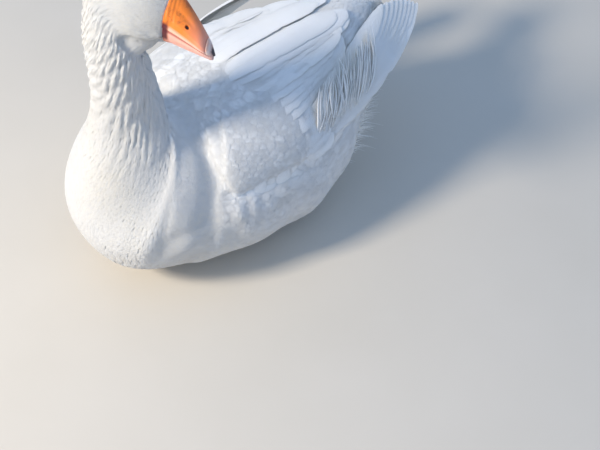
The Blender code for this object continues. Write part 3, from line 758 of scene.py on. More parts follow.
def bodyBlock(mask, seed, **look):
    # contour feathers wherever mask(station, angle) is above 0; each turns away from the ridge beside it
    def density(t, angle):
        closer = 1 + creaseFeathers["closer"] * inCrease(t, angle)
        return mask(t, angle) * closer / (contourSize("along", t) * contourSize("across", t))
    t, angle = scatterRoots(coatForm, density, seed)
    chance = np.random.default_rng(seed)
    n, creased = len(t), inCrease(t, angle)
    ridgeSide = neckRidges(t, angle + 0.6) - neckRidges(t, angle - 0.6)
    length, width = contourSize("length", t), contourSize("width", t)
    settings = {
        "length": length * chance.uniform(0.88, 1.12, n) * (1 - creaseFeathers["shorter"] * creased),
        "width": width * chance.uniform(0.85, 1.15, n) * (1 + creaseFeathers["wider"] * creased),
        "rise": coatDepth(t, angle) * 1.05, "swing": chance.normal(0, 4, n) + ridgeSide * 26,
        "bend": chance.normal(0, 0.03, n) * length,
        "tip": chance.uniform(0.00001, 0.00012, n) * (1 - creaseFeathers["flatter"] * creased),
        "pointed": 0.35, "camber": 0.055, "seed": seed,
    }
    settings.update(look)
    return layFeathers(coatForm, t, angle, **settings)


breastRear = {"angles": [-89, -50, -6, 5, 22, 45, 61, 80],
              "stations": [6.0, 6.5, 7.40, 6.90, 6.62, 6.50, 6.62, 6.8], "onBack": 7.9, "underneath": 6.0}


def breastMask(t, angle):
    # the breast's feathers run back under the wings' front edge
    rear = np.full(t.shape, breastRear["onBack"])
    for fit in wings.values():
        a = sideAngle(angle, fit["side"])
        rear = np.where(np.abs(a) < 89.99, np.interp(a, breastRear["angles"], breastRear["stations"]), rear)
    rear = np.where(np.abs(angle - 270) < 1.1, breastRear["underneath"], rear)
    return (t > rear) & (t < 10.0)


# where each piece lies, its seed and what differs from the contour feathers' own look
coatPieces = {
    "coat_head": (lambda t, a: (t > 14.2) & (t < 17.96), 11,
                  {"rings": 4, "pointed": 0.4, "keepOff": clearOfEyes}),
    "coat_neck_upper": (lambda t, a: (t >= 12.0) & (t < 14.3), 12, {"rings": 5, "pointed": 0.6}),
    "coat_neck_lower": (lambda t, a: (t >= 10.0) & (t < 12.05), 13, {"pointed": 0.55}),
    "coat_breast": (breastMask, 14, {"rings": 7}),
    "coat_back": (lambda t, a: (np.abs(a - 90) < 26) & (t > 2.2) & (t < 7.1), 15, {}),
    "coat_belly": (lambda t, a: (a > 185) & (a < 355) & (t > 2.2) & (t < 6.9), 16, {}),
    "coat_rump": (lambda t, a: (t > 0.05) & (t <= 2.25), 17, {}),
}
for name, (mask, seed, look) in coatPieces.items():
    featherPiece(name, bodyBlock(mask, seed, **look), contourFeather)
report("body coat laid")

# wing coverts, scapulars and flanks: side angles, stations, and sizes in millimetres from front to rear

covertTract = {"angles": (18.5, 70), "stations": (6.85, 3.95), "length": (20, 52), "width": (13, 25),
               "along": (4.8, 10), "across": (5.8, 10), "rise": (2.2, 3.6)}
scapularTract = {"angles": (64, 92), "stations": (6.7, 3.9), "length": (28, 62), "width": (17, 27),
                 "along": (7, 13), "across": (8, 11), "rise": (3.5, 4.5)}
flankTract = {"angles": (-52, 18.5), "stations": (7.2, 2.9), "length": (28, 54), "width": (15, 25),
              "along": (5.5, 11), "across": (6.5, 11), "rise": (2.6, 4.5)}


def tractBlock(tract, side, seed, form, **look):
    # feathers of one tract between its two side angles and two stations
    (low, high), (front, rear) = tract["angles"], tract["stations"]

    def size(key, t):
        return np.interp(-t, [-front, -rear], tract[key]) * 0.001

    def density(t, angle):
        a = sideAngle(angle, side)
        inside = (a > low) & (a < high) & (t < front) & (t > rear)
        return inside / (size("along", t) * size("across", t))
    t, angle = scatterRoots(form, density, seed)
    chance = np.random.default_rng(seed)
    n = len(t)
    settings = {
        "length": size("length", t) * chance.uniform(0.92, 1.08, n),
        "width": size("width", t) * chance.uniform(0.92, 1.08, n),
        "rise": size("rise", t), "swing": chance.normal(0, 3.0, n), "tip": chance.uniform(0, 0.00006, n),
        "rings": 8, "columns": 5, "seed": seed, "camber": 0.010, "pointed": 0.2,
    }
    settings.update(look)
    return layFeathers(form, t, angle, **settings)


for word, fit in wings.items():
    side, seed = fit["side"], 45 - 5 * fit["side"]
    for name, block in (
            ("coverts_", tractBlock(covertTract, side, seed, wingForm)),
            ("scapular_feathers_", tractBlock(scapularTract, side, seed + 1, wingForm, swing=-3.0 * side)),
            ("flank_feathers_", tractBlock(flankTract, side, seed + 2, coatForm, curl=0.0003))):
        featherPiece(name + word, block, contourFeather)
report("wing coverts, scapulars and flanks laid")

# long feathers of wings and tail

vane = {"thickness": 0.0005, "camber": 0.06, "rows": 34, "columns": 7, "splits": 5, "splitDepth": 0.16}


def longVanes(centre, across, normal, halfWidth, seed, tilt=0.0):
    # vanes along given centre lines: y = half width x w, height = -half width (camber w^2 + tilt w), closed
    # below at a vane's thickness; the edges are notched by bells of random place and depth
    chance = np.random.default_rng(seed)
    n, rows = halfWidth.shape
    w = np.linspace(-1, 1, vane["columns"])
    s = np.linspace(0, 1, rows)
    edge = np.ones((n, rows, len(w)))
    for edgeSide in (-1, 1) * vane["splits"]:
        at, deep = chance.uniform(0.25, 0.98, (n, 1)), chance.uniform(0.05, vane["splitDepth"], (n, 1))
        notch = deep * bell(s[None] - at, 0.016)
        edge -= notch[..., None] * np.clip(w * edgeSide, 0, 1) ** 3
    y = halfWidth[..., None] * w * edge
    drop = -halfWidth[..., None] * (vane["camber"] * w ** 2 + tilt * w)
    top = centre[:, :, None] + across[:, :, None] * y[..., None] + normal[:, :, None] * drop[..., None]
    under = [5, 3, 1]                            # the underside repeats these columns of the top
    below = top[:, :, under] - normal[:, :, None] * vane["thickness"]
    vaneMap = pairMap(0.5 + 0.5 * w, s[:, None])
    vaneMap = np.concatenate([vaneMap, vaneMap[:, under]], 1)
    return np.concatenate([top, below], 2), np.broadcast_to(vaneMap, (n,) + vaneMap.shape)


def shafts(centre, across, normal, radius, sides=5, taper=0.86):
    # rod along each centre line: a ring of radius (1 - taper s) in the plane of across and normal
    angle = np.arange(sides) * 2 * math.pi / sides
    r = radius * (1 - taper * np.linspace(0, 1, centre.shape[1]))[None, :, None]
    return centre[:, :, None] + across[:, :, None] * (r * np.cos(angle))[..., None] \
        - normal[:, :, None] * (r * np.sin(angle))[..., None]


def rodMap(count, rows, sides):
    # unrolled rods, all alike
    flat = pairMap(np.linspace(0, 1, sides), np.linspace(0, 1, rows)[:, None])
    return np.broadcast_to(flat, (count,) + flat.shape)


def lineLengths(centre):
    # the sum of the steps along each line
    return np.linalg.norm(np.diff(centre, axis=1), axis=-1).sum(1)


def longBlock(centre, normalHint, halfWidth, root, seed, shaftRadius=0.0005, tilt=0.0):
    # the vanes and the shafts of one row of long feathers; a shaft's middle lies just under its vane
    along = unit(np.gradient(centre, axis=1))
    normal = unit(normalHint - along * (normalHint * along).sum(-1, keepdims=True))
    across = np.cross(normal, along)
    points, vaneMap = longVanes(centre, across, normal, halfWidth, seed, tilt)
    rods = shafts(centre - normal * 0.0002, across, normal, shaftRadius)[:, 3:-2]
    shared = {"tone": np.random.default_rng(seed).uniform(0, 1, len(centre)), "root": root,
              "size": np.stack([halfWidth.max(1) * 2, lineLengths(centre)], -1)}
    return ({"points": points, "vane": vaneMap, **shared},
            {"points": rods, "vane": rodMap(*rods.shape[:3]), **shared})


def feathering(s, half, pointed=0.0):
    # half width of a flight feather along its length
    grow = 0.30 + 0.70 * smoothStep(s / 0.30)
    close = np.sqrt(np.clip(1 - (np.clip(s - 0.80, 0, None) / 0.203) ** 2.0, 0, 1))
    return half * grow * (close * (1 - pointed) + (1 - smoothStep((s - 0.55) / 0.46) ** 1.2) * pointed)


def rowPlaces(count):
    # q across a row of long feathers, at the middle of each, and s along every feather
    return ((np.arange(count) + 0.5) / count)[:, None], np.linspace(0, 1, vane["rows"])[None]


primaries = {
    "count": 9, "halfWidth": 0.0125, "pointed": 0.45, "shaft": 0.0007, "lowAngle": 19.5, "spread": 22.5,
    "rootStation": 4.05, "rootDepth": 0.0045,
    "step": 0.0042,                              # how far the innermost lies over the outermost
    "reach": ([0, 0.36, 0.70, 1.0], [1.0, 0.97, 0.89, 0.78]),      # shorter toward the body
    "bowWay": (0.93, 0.0, 0.37),
}


def primaryLines(fit):
    # centre line c: root + (tip - root) f + bow 4 f (1 - f), f = s x reach, and the way each vane faces
    side = fit["side"]
    c, s = rowPlaces(primaries["count"])
    f = s * np.interp(c, *primaries["reach"])
    angle = onSide(primaries["lowAngle"] + primaries["spread"] * c, side)
    root, rootNormal = sampleForm(wingForm, np.full_like(angle, primaries["rootStation"]), angle)
    outer, inner = np.array(fit["outerTip"]), np.array(fit["innerTip"])
    tip = outer + (inner - outer) * c[..., None]
    bowWay = np.array(primaries["bowWay"]) * (side, 1, 1)
    centre = root + (tip - root) * f[..., None] + bowWay * (fit["bow"] * 4 * f * (1 - f))[..., None]
    hint = unit(np.cross(unit(tip - root), unit(inner - outer))) * np.ones_like(centre)
    hint = np.where((hint * bowWay).sum(-1, keepdims=True) < 0, -hint, hint)
    hint = unit(hint * s[..., None] + rootNormal * (1 - s[..., None]))
    height = (c - 0.5) * primaries["step"] - primaries["rootDepth"] * (1 - smoothStep(s / 0.13))
    return centre + hint * height[..., None], hint, angle[:, 0]


def buildPrimaries(fit):
    # narrow pointed vanes along primaryLines, each leaning a little over the next
    side = fit["side"]
    centre, hint, angle = primaryLines(fit)
    c, s = rowPlaces(primaries["count"])
    half = feathering(s, primaries["halfWidth"], primaries["pointed"]) * np.ones_like(c)
    roots = bakePlace(np.full(len(angle), 3.6), angle)
    return longBlock(centre, hint, half, roots, 60 + side, primaries["shaft"], 0.05 * side)


def rowOnWing(side, t, angle, height, halfWidth, seed, shaftRadius, tilt=0.05):
    # long feathers whose centre lines (station, angle) lie at a height over the wing's form
    angle = onSide(angle, side)
    points, normals = sampleForm(wingForm, t, angle)
    half = feathering(np.linspace(0, 1, vane["rows"])[None], halfWidth) * np.ones((len(t), 1))
    return longBlock(points + normals * height[..., None], normals, half, bakePlace(t[:, 0], angle[:, 0]),
                     seed + side, shaftRadius, tilt * side)


secondaries = {"start": 5.1, "reach": [1.0, 0.93, 0.99, 0.90, 0.97], "halfWidth": 0.0145,
               "rootDepth": 0.0050, "top": 66.5}
tertials = {"start": 5.5, "ends": [2.00, 1.55, 1.47, 1.80], "halfWidth": 0.0165, "rootDepth": 0.0060}
greaterCoverts = {"count": 11, "length": 1.50, "halfWidth": 0.0110, "rootDepth": 0.0060}


def buildSecondaries(fit):
    # broad vanes between the lower edge 44 + 13 s and the top edge, their tips stepped
    q, s = rowPlaces(len(secondaries["reach"]))
    lower, start = 44.0 + 13 * s, secondaries["start"]
    end = fit["secondaryEnd"] + 0.04 - 0.25 * q
    t = start + (end - start) * s * np.array(secondaries["reach"])[:, None]
    height = 0.0004 + 0.0012 * q + 0.0003 * s - secondaries["rootDepth"] * (1 - smoothStep(s / 0.34))
    angle = lower + (secondaries["top"] - lower) * q
    return rowOnWing(fit["side"], t, angle, height, secondaries["halfWidth"], 70, 0.0004)


def buildTertials(fit):
    # broad soft vanes over the secondaries, the inner ones on top
    q, s = rowPlaces(len(tertials["ends"]))
    t = tertials["start"] + (np.array(tertials["ends"])[:, None] - tertials["start"]) * s
    height = 0.0017 + 0.0014 * q - 0.0004 * s - tertials["rootDepth"] * (1 - smoothStep(s / 0.34))
    return rowOnWing(fit["side"], t, 66.5 + 19 * q - 4 * s * q, height, tertials["halfWidth"], 80, 0.0004)


def buildGreaterCoverts(fit):
    # the last row of coverts, each tip a little longer or shorter than its neighbours
    q, s = rowPlaces(greaterCoverts["count"])
    angle = wingTract["low"] + 47 * q + 0 * s
    uneven = np.random.default_rng(97).uniform(-0.16, 0.10, (len(q), 1))
    t = coverEdge(angle) + 1.15 - (greaterCoverts["length"] + uneven) * s
    height = -greaterCoverts["rootDepth"] * (1 - smoothStep(s / 0.6)) + 0.0012 * s + 0.0005 * q
    return rowOnWing(fit["side"], t, angle, height, greaterCoverts["halfWidth"], 90, 0.0003, 0.04)


for word, fit in wings.items():
    rods = []
    for name, build, nodes in (
            ("primary_feathers_", buildPrimaries,
             ("primaries_inner_", "primaries_middle_", "primaries_outer_")),
            ("secondary_feathers_", buildSecondaries, ("secondaries_",)),
            ("tertial_feathers_", buildTertials, ("tertials_",)),
            ("greater_coverts_", buildGreaterCoverts, ())):
        vanes, shaft = build(fit)
        featherPiece(name + word, vanes, contourFeather, [node + word for node in nodes])
        rods.append(shaft)
    shown = rods[:3]                             # the coverts' own shafts stay hidden
    joined = {key: np.concatenate([rod[key] for rod in shown]) for key in shown[0]}
    featherPiece("wing_shafts_" + word, joined, quillHorn)


def rodPiece(name, centre, across, normal, radius, roots, tone, sides=3, taper=0.86):
    # thin rods: tapering down, or barbs in flat locks where across is longer than normal
    n, rows = centre.shape[:2]
    block = {"points": shafts(centre, across, normal, radius, sides, taper), "vane": rodMap(n, rows, sides),
             "tone": tone, "root": roots, "size": np.stack([np.full(n, 0.001), lineLengths(centre)], -1)}
    return featherPiece(name, block, downFeather, (), None)


frayed = {
    "count": 84, "rows": 16, "thickness": 0.00030, "halfWidths": (0.0006, 0.0021),
    # along the fringe: the primary that a lock starts from and ends at, and how far along it
    "startLine": ([0, 0.5, 0.8, 1], [10.4, 10.2, 8.6, 8]),
    "startShare": ([0, 0.25, 0.55, 0.8, 1], [0.18, 0.27, 0.52, 0.67, 0.76]),
    "endLine": ([0, 0.25, 0.5, 0.8, 1], [2.6, 1.8, 1.5, 0.8, 0.0]),
    "endShare": ([0, 0.25, 0.5, 0.8, 1], [0.0, 0.08, 0.16, 0.27, 0.42]),
    "startHeight": 0.0035, "endHeight": 0.0022, "arch": 0.0050,
}


def buildFrayed(word, fit):
    # barbs that came apart: from the inner blades down and forward to the outermost primary's shaft
    side, n, rows = fit["side"], frayed["count"], frayed["rows"]
    chance = np.random.default_rng(120 + side)
    u = np.linspace(-0.12, 1, n) + chance.normal(0, 0.02, n)
    lines, hints = primaryLines(fit)[:2]

    def blade(line, share):
        # a place on a primary, given by its number and a share of its length; it runs on past the last one
        at, row = np.clip(line, 0, len(lines) - 1.001), np.clip(share, 0, 0.999) * (vane["rows"] - 1)
        beyond = (line - at)[:, None] * (lines[-1, row.astype(int)] - lines[-2, row.astype(int)])
        return readGrid(lines, at, row) + beyond, unit(readGrid(hints, at, row))
    start, startNormal = blade(np.interp(u, *frayed["startLine"]) + chance.normal(0, 0.4, n),
                               np.interp(u, *frayed["startShare"]) + chance.normal(0, 0.02, n))
    end, endNormal = blade(np.interp(u, *frayed["endLine"]),
                           np.interp(u, *frayed["endShare"]) + chance.normal(0, 0.02, n))
    start, end = start + startNormal * frayed["startHeight"], end + endNormal * frayed["endHeight"]
    begin, stop = chance.uniform(-0.10, 0.22, (n, 1)), chance.uniform(0.72, 1.05, (n, 1))
    v = begin + (stop - begin) * np.linspace(0, 1, rows)[None]
    centre = start[:, None] + (end - start)[:, None] * v[..., None]
    along = unit(end - start)
    normal = unit(startNormal + endNormal)
    normal = unit(normal - along * (normal * along).sum(-1, keepdims=True))
    across = np.cross(normal, along)
    wave = chance.normal(0, 0.0030, (n, 1)) * np.sin(math.pi * v)
    wave = wave + chance.normal(0, 0.0012, (n, 1)) * np.sin(2 * math.pi * v)
    raised = frayed["arch"] * 4 * v * (1 - v) + chance.uniform(0, 0.0014, (n, 1))
    centre = centre + across[:, None] * wave[..., None] + normal[:, None] * raised[..., None]
    # a lock's half width grows and closes as sin(pi v)^0.6, and it twists a little along its length
    share = np.sin(math.pi * np.linspace(0.03, 0.97, rows)) ** 0.6
    wide = chance.uniform(*frayed["halfWidths"], (n, 1)) / frayed["thickness"] * share
    twist = chance.normal(0, 0.35, (n, 1)) + chance.normal(0, 0.5, (n, 1)) * v
    c, s = np.cos(twist)[..., None], np.sin(twist)[..., None]
    turnedAcross = across[:, None] * c + normal[:, None] * s
    turnedNormal = normal[:, None] * c - across[:, None] * s
    roots = bakePlace(3.6 - 2.0 * u, np.full(n, onSide(48.0, side)))
    rodPiece("frayed_barbs_" + word, centre, turnedAcross * wide[..., None], turnedNormal * share[:, None],
             frayed["thickness"], roots, chance.uniform(0, 0.4, n), 4, 0)


ventDown = {"count": 300, "radius": 0.00055, "rows": 7, "stations": (1.3, 2.7), "angles": (-62, 6),
            "lengths": (0.012, 0.030), "droop": 0.35}


def buildVentDown(word, fit):
    # loose tips of down behind the flank: rods that leave the coat backward and out and droop as v^2
    side, n, rows = fit["side"], ventDown["count"], ventDown["rows"]
    chance = np.random.default_rng(140 + side)
    t = chance.uniform(*ventDown["stations"], n)
    angle = onSide(chance.uniform(*ventDown["angles"], n), side)
    root, normal = sampleForm(coatForm, t, angle)
    lie = unit(sampleForm(coatForm, t - 0.1, angle)[0] - root)
    way = unit(normal * chance.uniform(0.15, 0.85, (n, 1)) + lie * chance.uniform(0.5, 1.0, (n, 1))
               + chance.normal(0, 0.28, (n, 3)))
    length = chance.uniform(*ventDown["lengths"], (n, 1))
    v = np.linspace(0, 1, rows)[None]
    centre = root[:, None] - normal[:, None] * 0.002 + way[:, None] * (length * v)[..., None]
    centre = centre + np.array([0, 0.25, -1.0]) * (ventDown["droop"] * length * v ** 2)[..., None]
    centre[..., 2] = np.maximum(centre[..., 2], 0.001)
    across = unit(np.cross(way, np.array([0.3, 0.1, 1.0])))
    up = np.cross(across, way)
    across, up = [np.broadcast_to(w[:, None], centre.shape) for w in (across, up)]
    rodPiece("vent_down_" + word, centre, across, -up, ventDown["radius"], bakePlace(t, angle),
             chance.uniform(0, 1, n))


buildFrayed("left", wings["left"])
for word, fit in wings.items():
    buildVentDown(word, fit)

tail = {"root": (-0.009, 0.224, 0.172), "sunk": 0.020, "length": 0.088, "rise": 0.026, "swing": -0.028,
        "arch": 0.006, "halfWidths": (0.022, 0.033), "count": 14, "featherHalf": 0.0075}


def buildTail():
    # fan: x = root + swing s + q halfWidth(s), z rises with s and arches by q^2, the middle feathers on top
    q, s = np.linspace(-0.80, 0.80, tail["count"])[:, None], np.linspace(0, 1, vane["rows"])[None]
    (rootX, rootY, rootZ), (narrow, wide) = tail["root"], tail["halfWidths"]
    reach = tail["length"] * (1.03 - 0.24 * q ** 2)
    x = rootX + tail["swing"] * s + q * (narrow + (wide - narrow) * s ** 0.7)
    y = rootY - tail["sunk"] + (reach + tail["sunk"]) * s
    z = rootZ + tail["rise"] * s - tail["arch"] * q ** 2 + 0.0030 * (1 - np.abs(q)) - 0.0010
    centre = np.stack([x, y + 0 * x, z + 0 * x], -1)
    hint = unit(np.stack([0.25 * q + 0 * s, -0.28 + 0 * x, 1.0 + 0 * x], -1))
    half = feathering(s, tail["featherHalf"]) * np.ones_like(q)
    vanes, shaft = longBlock(centre, hint, half, bakePlace(np.full(len(q), 0.9), 90 - 45 * q[:, 0]), 95)
    featherPiece("tail_feathers", vanes, contourFeather, ["tail"])
    featherPiece("tail_shafts", shaft, quillHorn)


buildTail()
report("flight and tail feathers made")

# bill

bill = {
    "length": 0.040, "chin": 0.050, "drop": 0.015, "culmenFall": 0.0335, "chinRise": 0.002,
    "inset": 0.0015, "gap": 0.00045, "gapeAngle": -28.0, "gapeGap": 0.8, "nailStart": 0.86,
    "widths": (0.0160, 0.0154, 0.0144, 0.0134, 0.0116, 0.0020),
    "nostril": 0.45, "nostrilAngle": 15.0, "nostrilSize": (0.042, 5.2), "nostrilDepth": 0.0024,
    "groove": 0.0007, "rim": 0.0006, "wrinkles": 0.00014, "teeth": 0.00010, "teethCount": 26,
    "baseSwell": 0.0011,
    # painted shade: the culmen's deeper orange, the gape's dark corner, the dark line under the cutting
    # edge, the dark nostril and the nail's dark front
    "base": "#F08428", "side": "#F48E5A", "tip": "#F0A28A", "gapeShade": "#5E2326", "culmen": "#D9691C",
    "edge": "#F8C4AC", "wear": "#8E4A26", "pitAndShade": "#3A1710", "cuttingEdgeShade": "#A8584A",
    "lowBase": "#D98A6E", "under": "#F2B09C", "underMiddle": "#F4B8A4", "underTip": "#F2C0B0",
    "nailBase": "#F0B79C", "nail": "#F1D3C4", "nailShadeOnset": "#C9A090", "nailShadeEdge": "#4A3A38",
}


def billSection(s, angle):
    # closed bill at s (0 base, 1 tip): culmen falls as s^1.3, chin rises as s^1.5, tip closes as an ellipse
    top, bottom = np.array(bodyForm["stations"][-1][0:2]), np.array(bodyForm["stations"][-1][2:4])
    upward = (top - bottom) / np.linalg.norm(top - bottom)
    forward = np.array([-upward[1], upward[0]])
    top = top - bill["inset"] * upward + bill["gap"] * forward
    bottom = bottom + bill["inset"] * upward + bill["gap"] * forward
    inside = np.clip(s, 0, 1)
    drop = bill["drop"] * s
    topY, topZ = top[0] - bill["length"] * s, top[1] - drop - bill["culmenFall"] * inside ** 1.3
    lowY, lowZ = bottom[0] - bill["chin"] * s, bottom[1] - drop + bill["chinRise"] * inside ** 1.5
    close = np.sqrt(np.clip(1 - (np.clip(s - 0.90, 0, None) / 0.105) ** 2, 0.0, 1.0))
    height = np.sin(np.radians(angle))
    part = (1 + height * (0.15 + 0.85 * close)) / 2
    y, z = lowY + (topY - lowY) * part, lowZ + (topZ - lowZ) * part
    width = curveThrough(bill["widths"], s * (len(bill["widths"]) - 1))
    x = width * np.cos(np.radians(angle)) * np.where(height > 0, 1 - 0.30 * height, 1.0)
    return headPose(np.stack([x, y, z], -1), np.ones(x.shape), np.ones(x.shape))


def billSurface(s, angle, dent):
    # the section moved along its outward normal by dent, in metres
    byS = billSection(np.minimum(s + 0.004, 1), angle) - billSection(np.minimum(s - 0.004, 0.996), angle)
    byAngle = billSection(s, angle + 1.0) - billSection(s, angle - 1.0)
    return billSection(s, angle) - unit(np.cross(byS, byAngle)) * dent[..., None]


def nostrilShare(s, side):
    # 1 in the nostril's opening, an oval that slants down toward the nail, 0 outside
    along, around = bill["nostrilSize"]
    past = s - bill["nostril"]
    u, v = past / along, (side - bill["nostrilAngle"] - 60 * past) / around
    return smoothStep((1.25 - np.sqrt(u ** 2 + v ** 2)) / 0.5)


def baseRim(s):
    # the horn's root swells over the edge of the face's skin
    return bill["baseSwell"] * smoothStep((0.13 - s) / 0.17)


def upperDent(s, side):
    # nostril, groove, rim over the gape and wrinkles at the base; side counts up from the level, both sides
    groove = bill["groove"] * bell(side - 26 - 14 * s, 9) * between(s, 0.08, 0.1, 0.62, 0.15)
    rim = bill["rim"] * bell(side - bill["gapeAngle"] - 5, 5) * smoothStep(s / 0.05)
    wrinkles = bill["wrinkles"] * np.sin(s * 75 + 0.08 * side) * smoothStep((0.30 - s) / 0.25)
    nailSeam = 0.00045 * bell((s - bill["nailStart"]) / 0.012, 1.0)
    pitAndShade = bill["nostrilDepth"] * nostrilShare(s, side)
    return baseRim(s) + rim + wrinkles * smoothStep((side + 20) / 30) - groove - nailSeam - pitAndShade


def lowerDent(s, fromEdge):
    # teeth along the cutting edge, a step in beside it and the hollow along the mandible's lower side
    comb = np.sin(s * 2 * math.pi * bill["teethCount"]) * bell(fromEdge - 8, 7)
    teeth = bill["teeth"] * comb * smoothStep((s - 0.12) / 0.1)
    hollow = 0.0008 * bell(fromEdge - 34, 9) * between(s, 0.1, 0.2, 0.9, 0.2)
    return teeth - 0.0006 * bell(fromEdge - 2, 6) - hollow + baseRim(s)


def billPiece(name, s, angle, dent, unrolled, material, replaced, values=None):
    # a closed strip of horn: s along the bill, angle round it, unrolled the same from 0 to 1
    rings = billSurface(s, angle, dent)
    quads, triangles = tubeFaces(*rings.shape[:2])
    place = pairMap(s, unrolled).reshape(-1, 2)
    mesh = fillMesh(name, rings.reshape(-1, 3), quads[:, ::-1], triangles[:, ::-1],
                    {"OFBake": place, "hornPlace": place}, values, 50)
    return addPiece(name, mesh, material, [replaced])


def buildBill():
    # upper horn, nail and lower horn as grids of s and angle; a narrow gape is left between the mandibles
    gape, nailStart = bill["gapeAngle"], bill["nailStart"]
    low, high = gape + bill["gapeGap"], 180 - gape - bill["gapeGap"]
    around = np.linspace(low, high, 121)
    s, a = np.meshgrid(np.linspace(-0.045, nailStart - 0.002, 116), around, indexing="ij")
    side = np.where(a > 90, 180 - a, a)
    # the nostril's share goes along as an attribute for the painted shade inside the nostril
    billPiece("bill_upper_horn", s, a, upperDent(s, side), (a + 40) / 270, makeBillHorn(),
              "bill_upper", {"pitAndShade": nostrilShare(s, side).ravel()})
    along = np.concatenate([np.linspace(nailStart + 0.002, 0.975, 18), [0.985, 0.993, 0.998, 1.0]])
    s, a = np.meshgrid(along, around, indexing="ij")
    dent = 0.0003 - 0.0005 * bell((s - nailStart) / 0.01, 1.0)
    billPiece("bill_nail_horn", s, a, dent, (a + 40) / 270, makeNail(), "bill_nail")
    low, high = 180 - gape, 360 + gape
    around = np.linspace(low + bill["gapeGap"], high - bill["gapeGap"], 49)
    s, a = np.meshgrid(np.linspace(-0.036, 0.955, 124), around, indexing="ij")
    dent = lowerDent(s, np.minimum(a - low, high - a))
    billPiece("bill_lower_horn", s, a, dent, (a - 200) / 150, makeLowerHorn(), "bill_lower")


def hornBase(name, colours, roughness):
    # living bill: thin keratin over skin full of blood and carotene, waxy half gloss with fine pits
    material, tree, shader = newMaterial(name, {
        "Roughness": roughness, "IOR": 1.54, "Specular IOR Level": 0.5, "Subsurface Weight": 0.12,
        "Subsurface Scale": 0.004, "Subsurface Radius": (1.0, 0.35, 0.12)})
    place = addNode(tree, "ShaderNodeTexCoord")
    own = addNode(tree, "ShaderNodeUVMap", {"uv_map": "hornPlace"})
    split = addNode(tree, "ShaderNodeSeparateXYZ", None, {"Vector": own.outputs[0]})
    cloud = addNode(tree, "ShaderNodeTexNoise", {"Scale": 130.0, "Detail": 4.0, "Roughness": 0.6},
                    {"Vector": place.outputs["Object"]})
    wobble = addNode(tree, "ShaderNodeMath", {"operation": "MULTIPLY_ADD", 1: 0.22, 2: -0.11},
                     {0: cloud.outputs[0]})
    along = addNode(tree, "ShaderNodeMath", {"operation": "ADD"},
                    {0: split.outputs[0], 1: wobble.outputs[0]})
    ramp = addNode(tree, "ShaderNodeValToRGB", None, {"Fac": along.outputs[0]})
    setStops(ramp.color_ramp, colours)
    pits = addNode(tree, "ShaderNodeTexNoise", {"Scale": 900.0, "Detail": 3.0},
                   {"Vector": place.outputs["Object"]})
    bump = addNode(tree, "ShaderNodeBump", {"Strength": 0.35, "Distance": 0.0002},
                   {"Height": pits.outputs[0]})
    tree.links.new(bump.outputs[0], shader.inputs["Normal"])
    return material, tree, shader, ramp, split


def setStops(colourRamp, colours):
    # places and hex colours along a ramp that starts with two
    for k, (at, code) in enumerate(colours):
        point = colourRamp.elements[k] if k < 2 else colourRamp.elements.new(at)
        point.position, point.color = at, hexColour(code)


def fromMiddle(tree, source, middle):
    # distance from a middle, the same on both sides of the bill
    centred = addNode(tree, "ShaderNodeMath", {"operation": "SUBTRACT", 1: middle}, {0: source})
    return addNode(tree, "ShaderNodeMath", {"operation": "ABSOLUTE"}, {0: centred.outputs[0]}).outputs[0]


def makeBillHorn():
    # orange at the base, coral to pink toward the nail; pale cutting edge; painted shade on the culmen, in
    # the gape's corner and in the nostril
    colours = [(0.0, bill["base"]), (0.38, bill["base"]), (0.62, bill["side"]), (0.92, bill["tip"])]
    material, tree, shader, ramp, split = hornBase("bill horn", colours, 0.34)
    along, aside = split.outputs[0], fromMiddle(tree, split.outputs[1], 130 / 270)
    place = addNode(tree, "ShaderNodeTexCoord")
    stain = addNode(tree, "ShaderNodeTexNoise", {"Scale": 95.0, "Detail": 3.0, "Roughness": 0.6},
                    {"Vector": place.outputs["Object"]}).outputs[0]
    # painted shade inside the nostril, read from the nostril's share
    pitAndShade = addNode(tree, "ShaderNodeAttribute", {"attribute_name": "pitAndShade"}).outputs["Fac"]
    colour = ramp.outputs[0]
    # the culmen's, the gape corner's and the nostril's tints are painted shade; the wear stains and the pale
    # edge are the horn's own
    for code, *gates in ((bill["culmen"], (aside, 0.16, 0.03, 0.75), (along, 0.80, 0.30, 1.0)),
                         (bill["wear"], (stain, 0.56, 0.72, 0.75), (along, 0.62, 0.25, 1.0)),
                         (bill["edge"], (aside, 0.385, 0.415, 0.85), (along, 0.03, 0.10, 1.0)),
                         (bill["gapeShade"], (aside, 0.37, 0.40, 1.0), (along, 0.10, 0.045, 1.0)),
                         (bill["pitAndShade"], (pitAndShade, 0.25, 0.85, 0.95))):
        colour = tintWhere(tree, colour, code, *gates)
    tree.links.new(colour, shader.inputs["Base Color"])
    return material


def makeLowerHorn():
    # the lower mandible: flesh pink, painted shade in a line under the cutting edge and in the gape's corner
    colours = [(0.0, bill["lowBase"]), (0.10, bill["under"]), (0.5, bill["underMiddle"]),
               (0.95, bill["underTip"])]
    material, tree, shader, ramp, split = hornBase("lower bill horn", colours, 0.38)
    along, aside = split.outputs[0], fromMiddle(tree, split.outputs[1], 70 / 150)
    # painted shade in a line under the upper mandible's cutting edge
    colour = tintWhere(tree, ramp.outputs[0], bill["cuttingEdgeShade"], (aside, 0.350, 0.375, 0.8),
                       (along, 0.98, 0.80, 1.0))
    # painted shade in the corner of the gape
    colour = tintWhere(tree, colour, bill["gapeShade"], (aside, 0.17, 0.25, 1.0), (along, 0.09, 0.045, 1.0))
    tree.links.new(colour, shader.inputs["Base Color"])
    return material


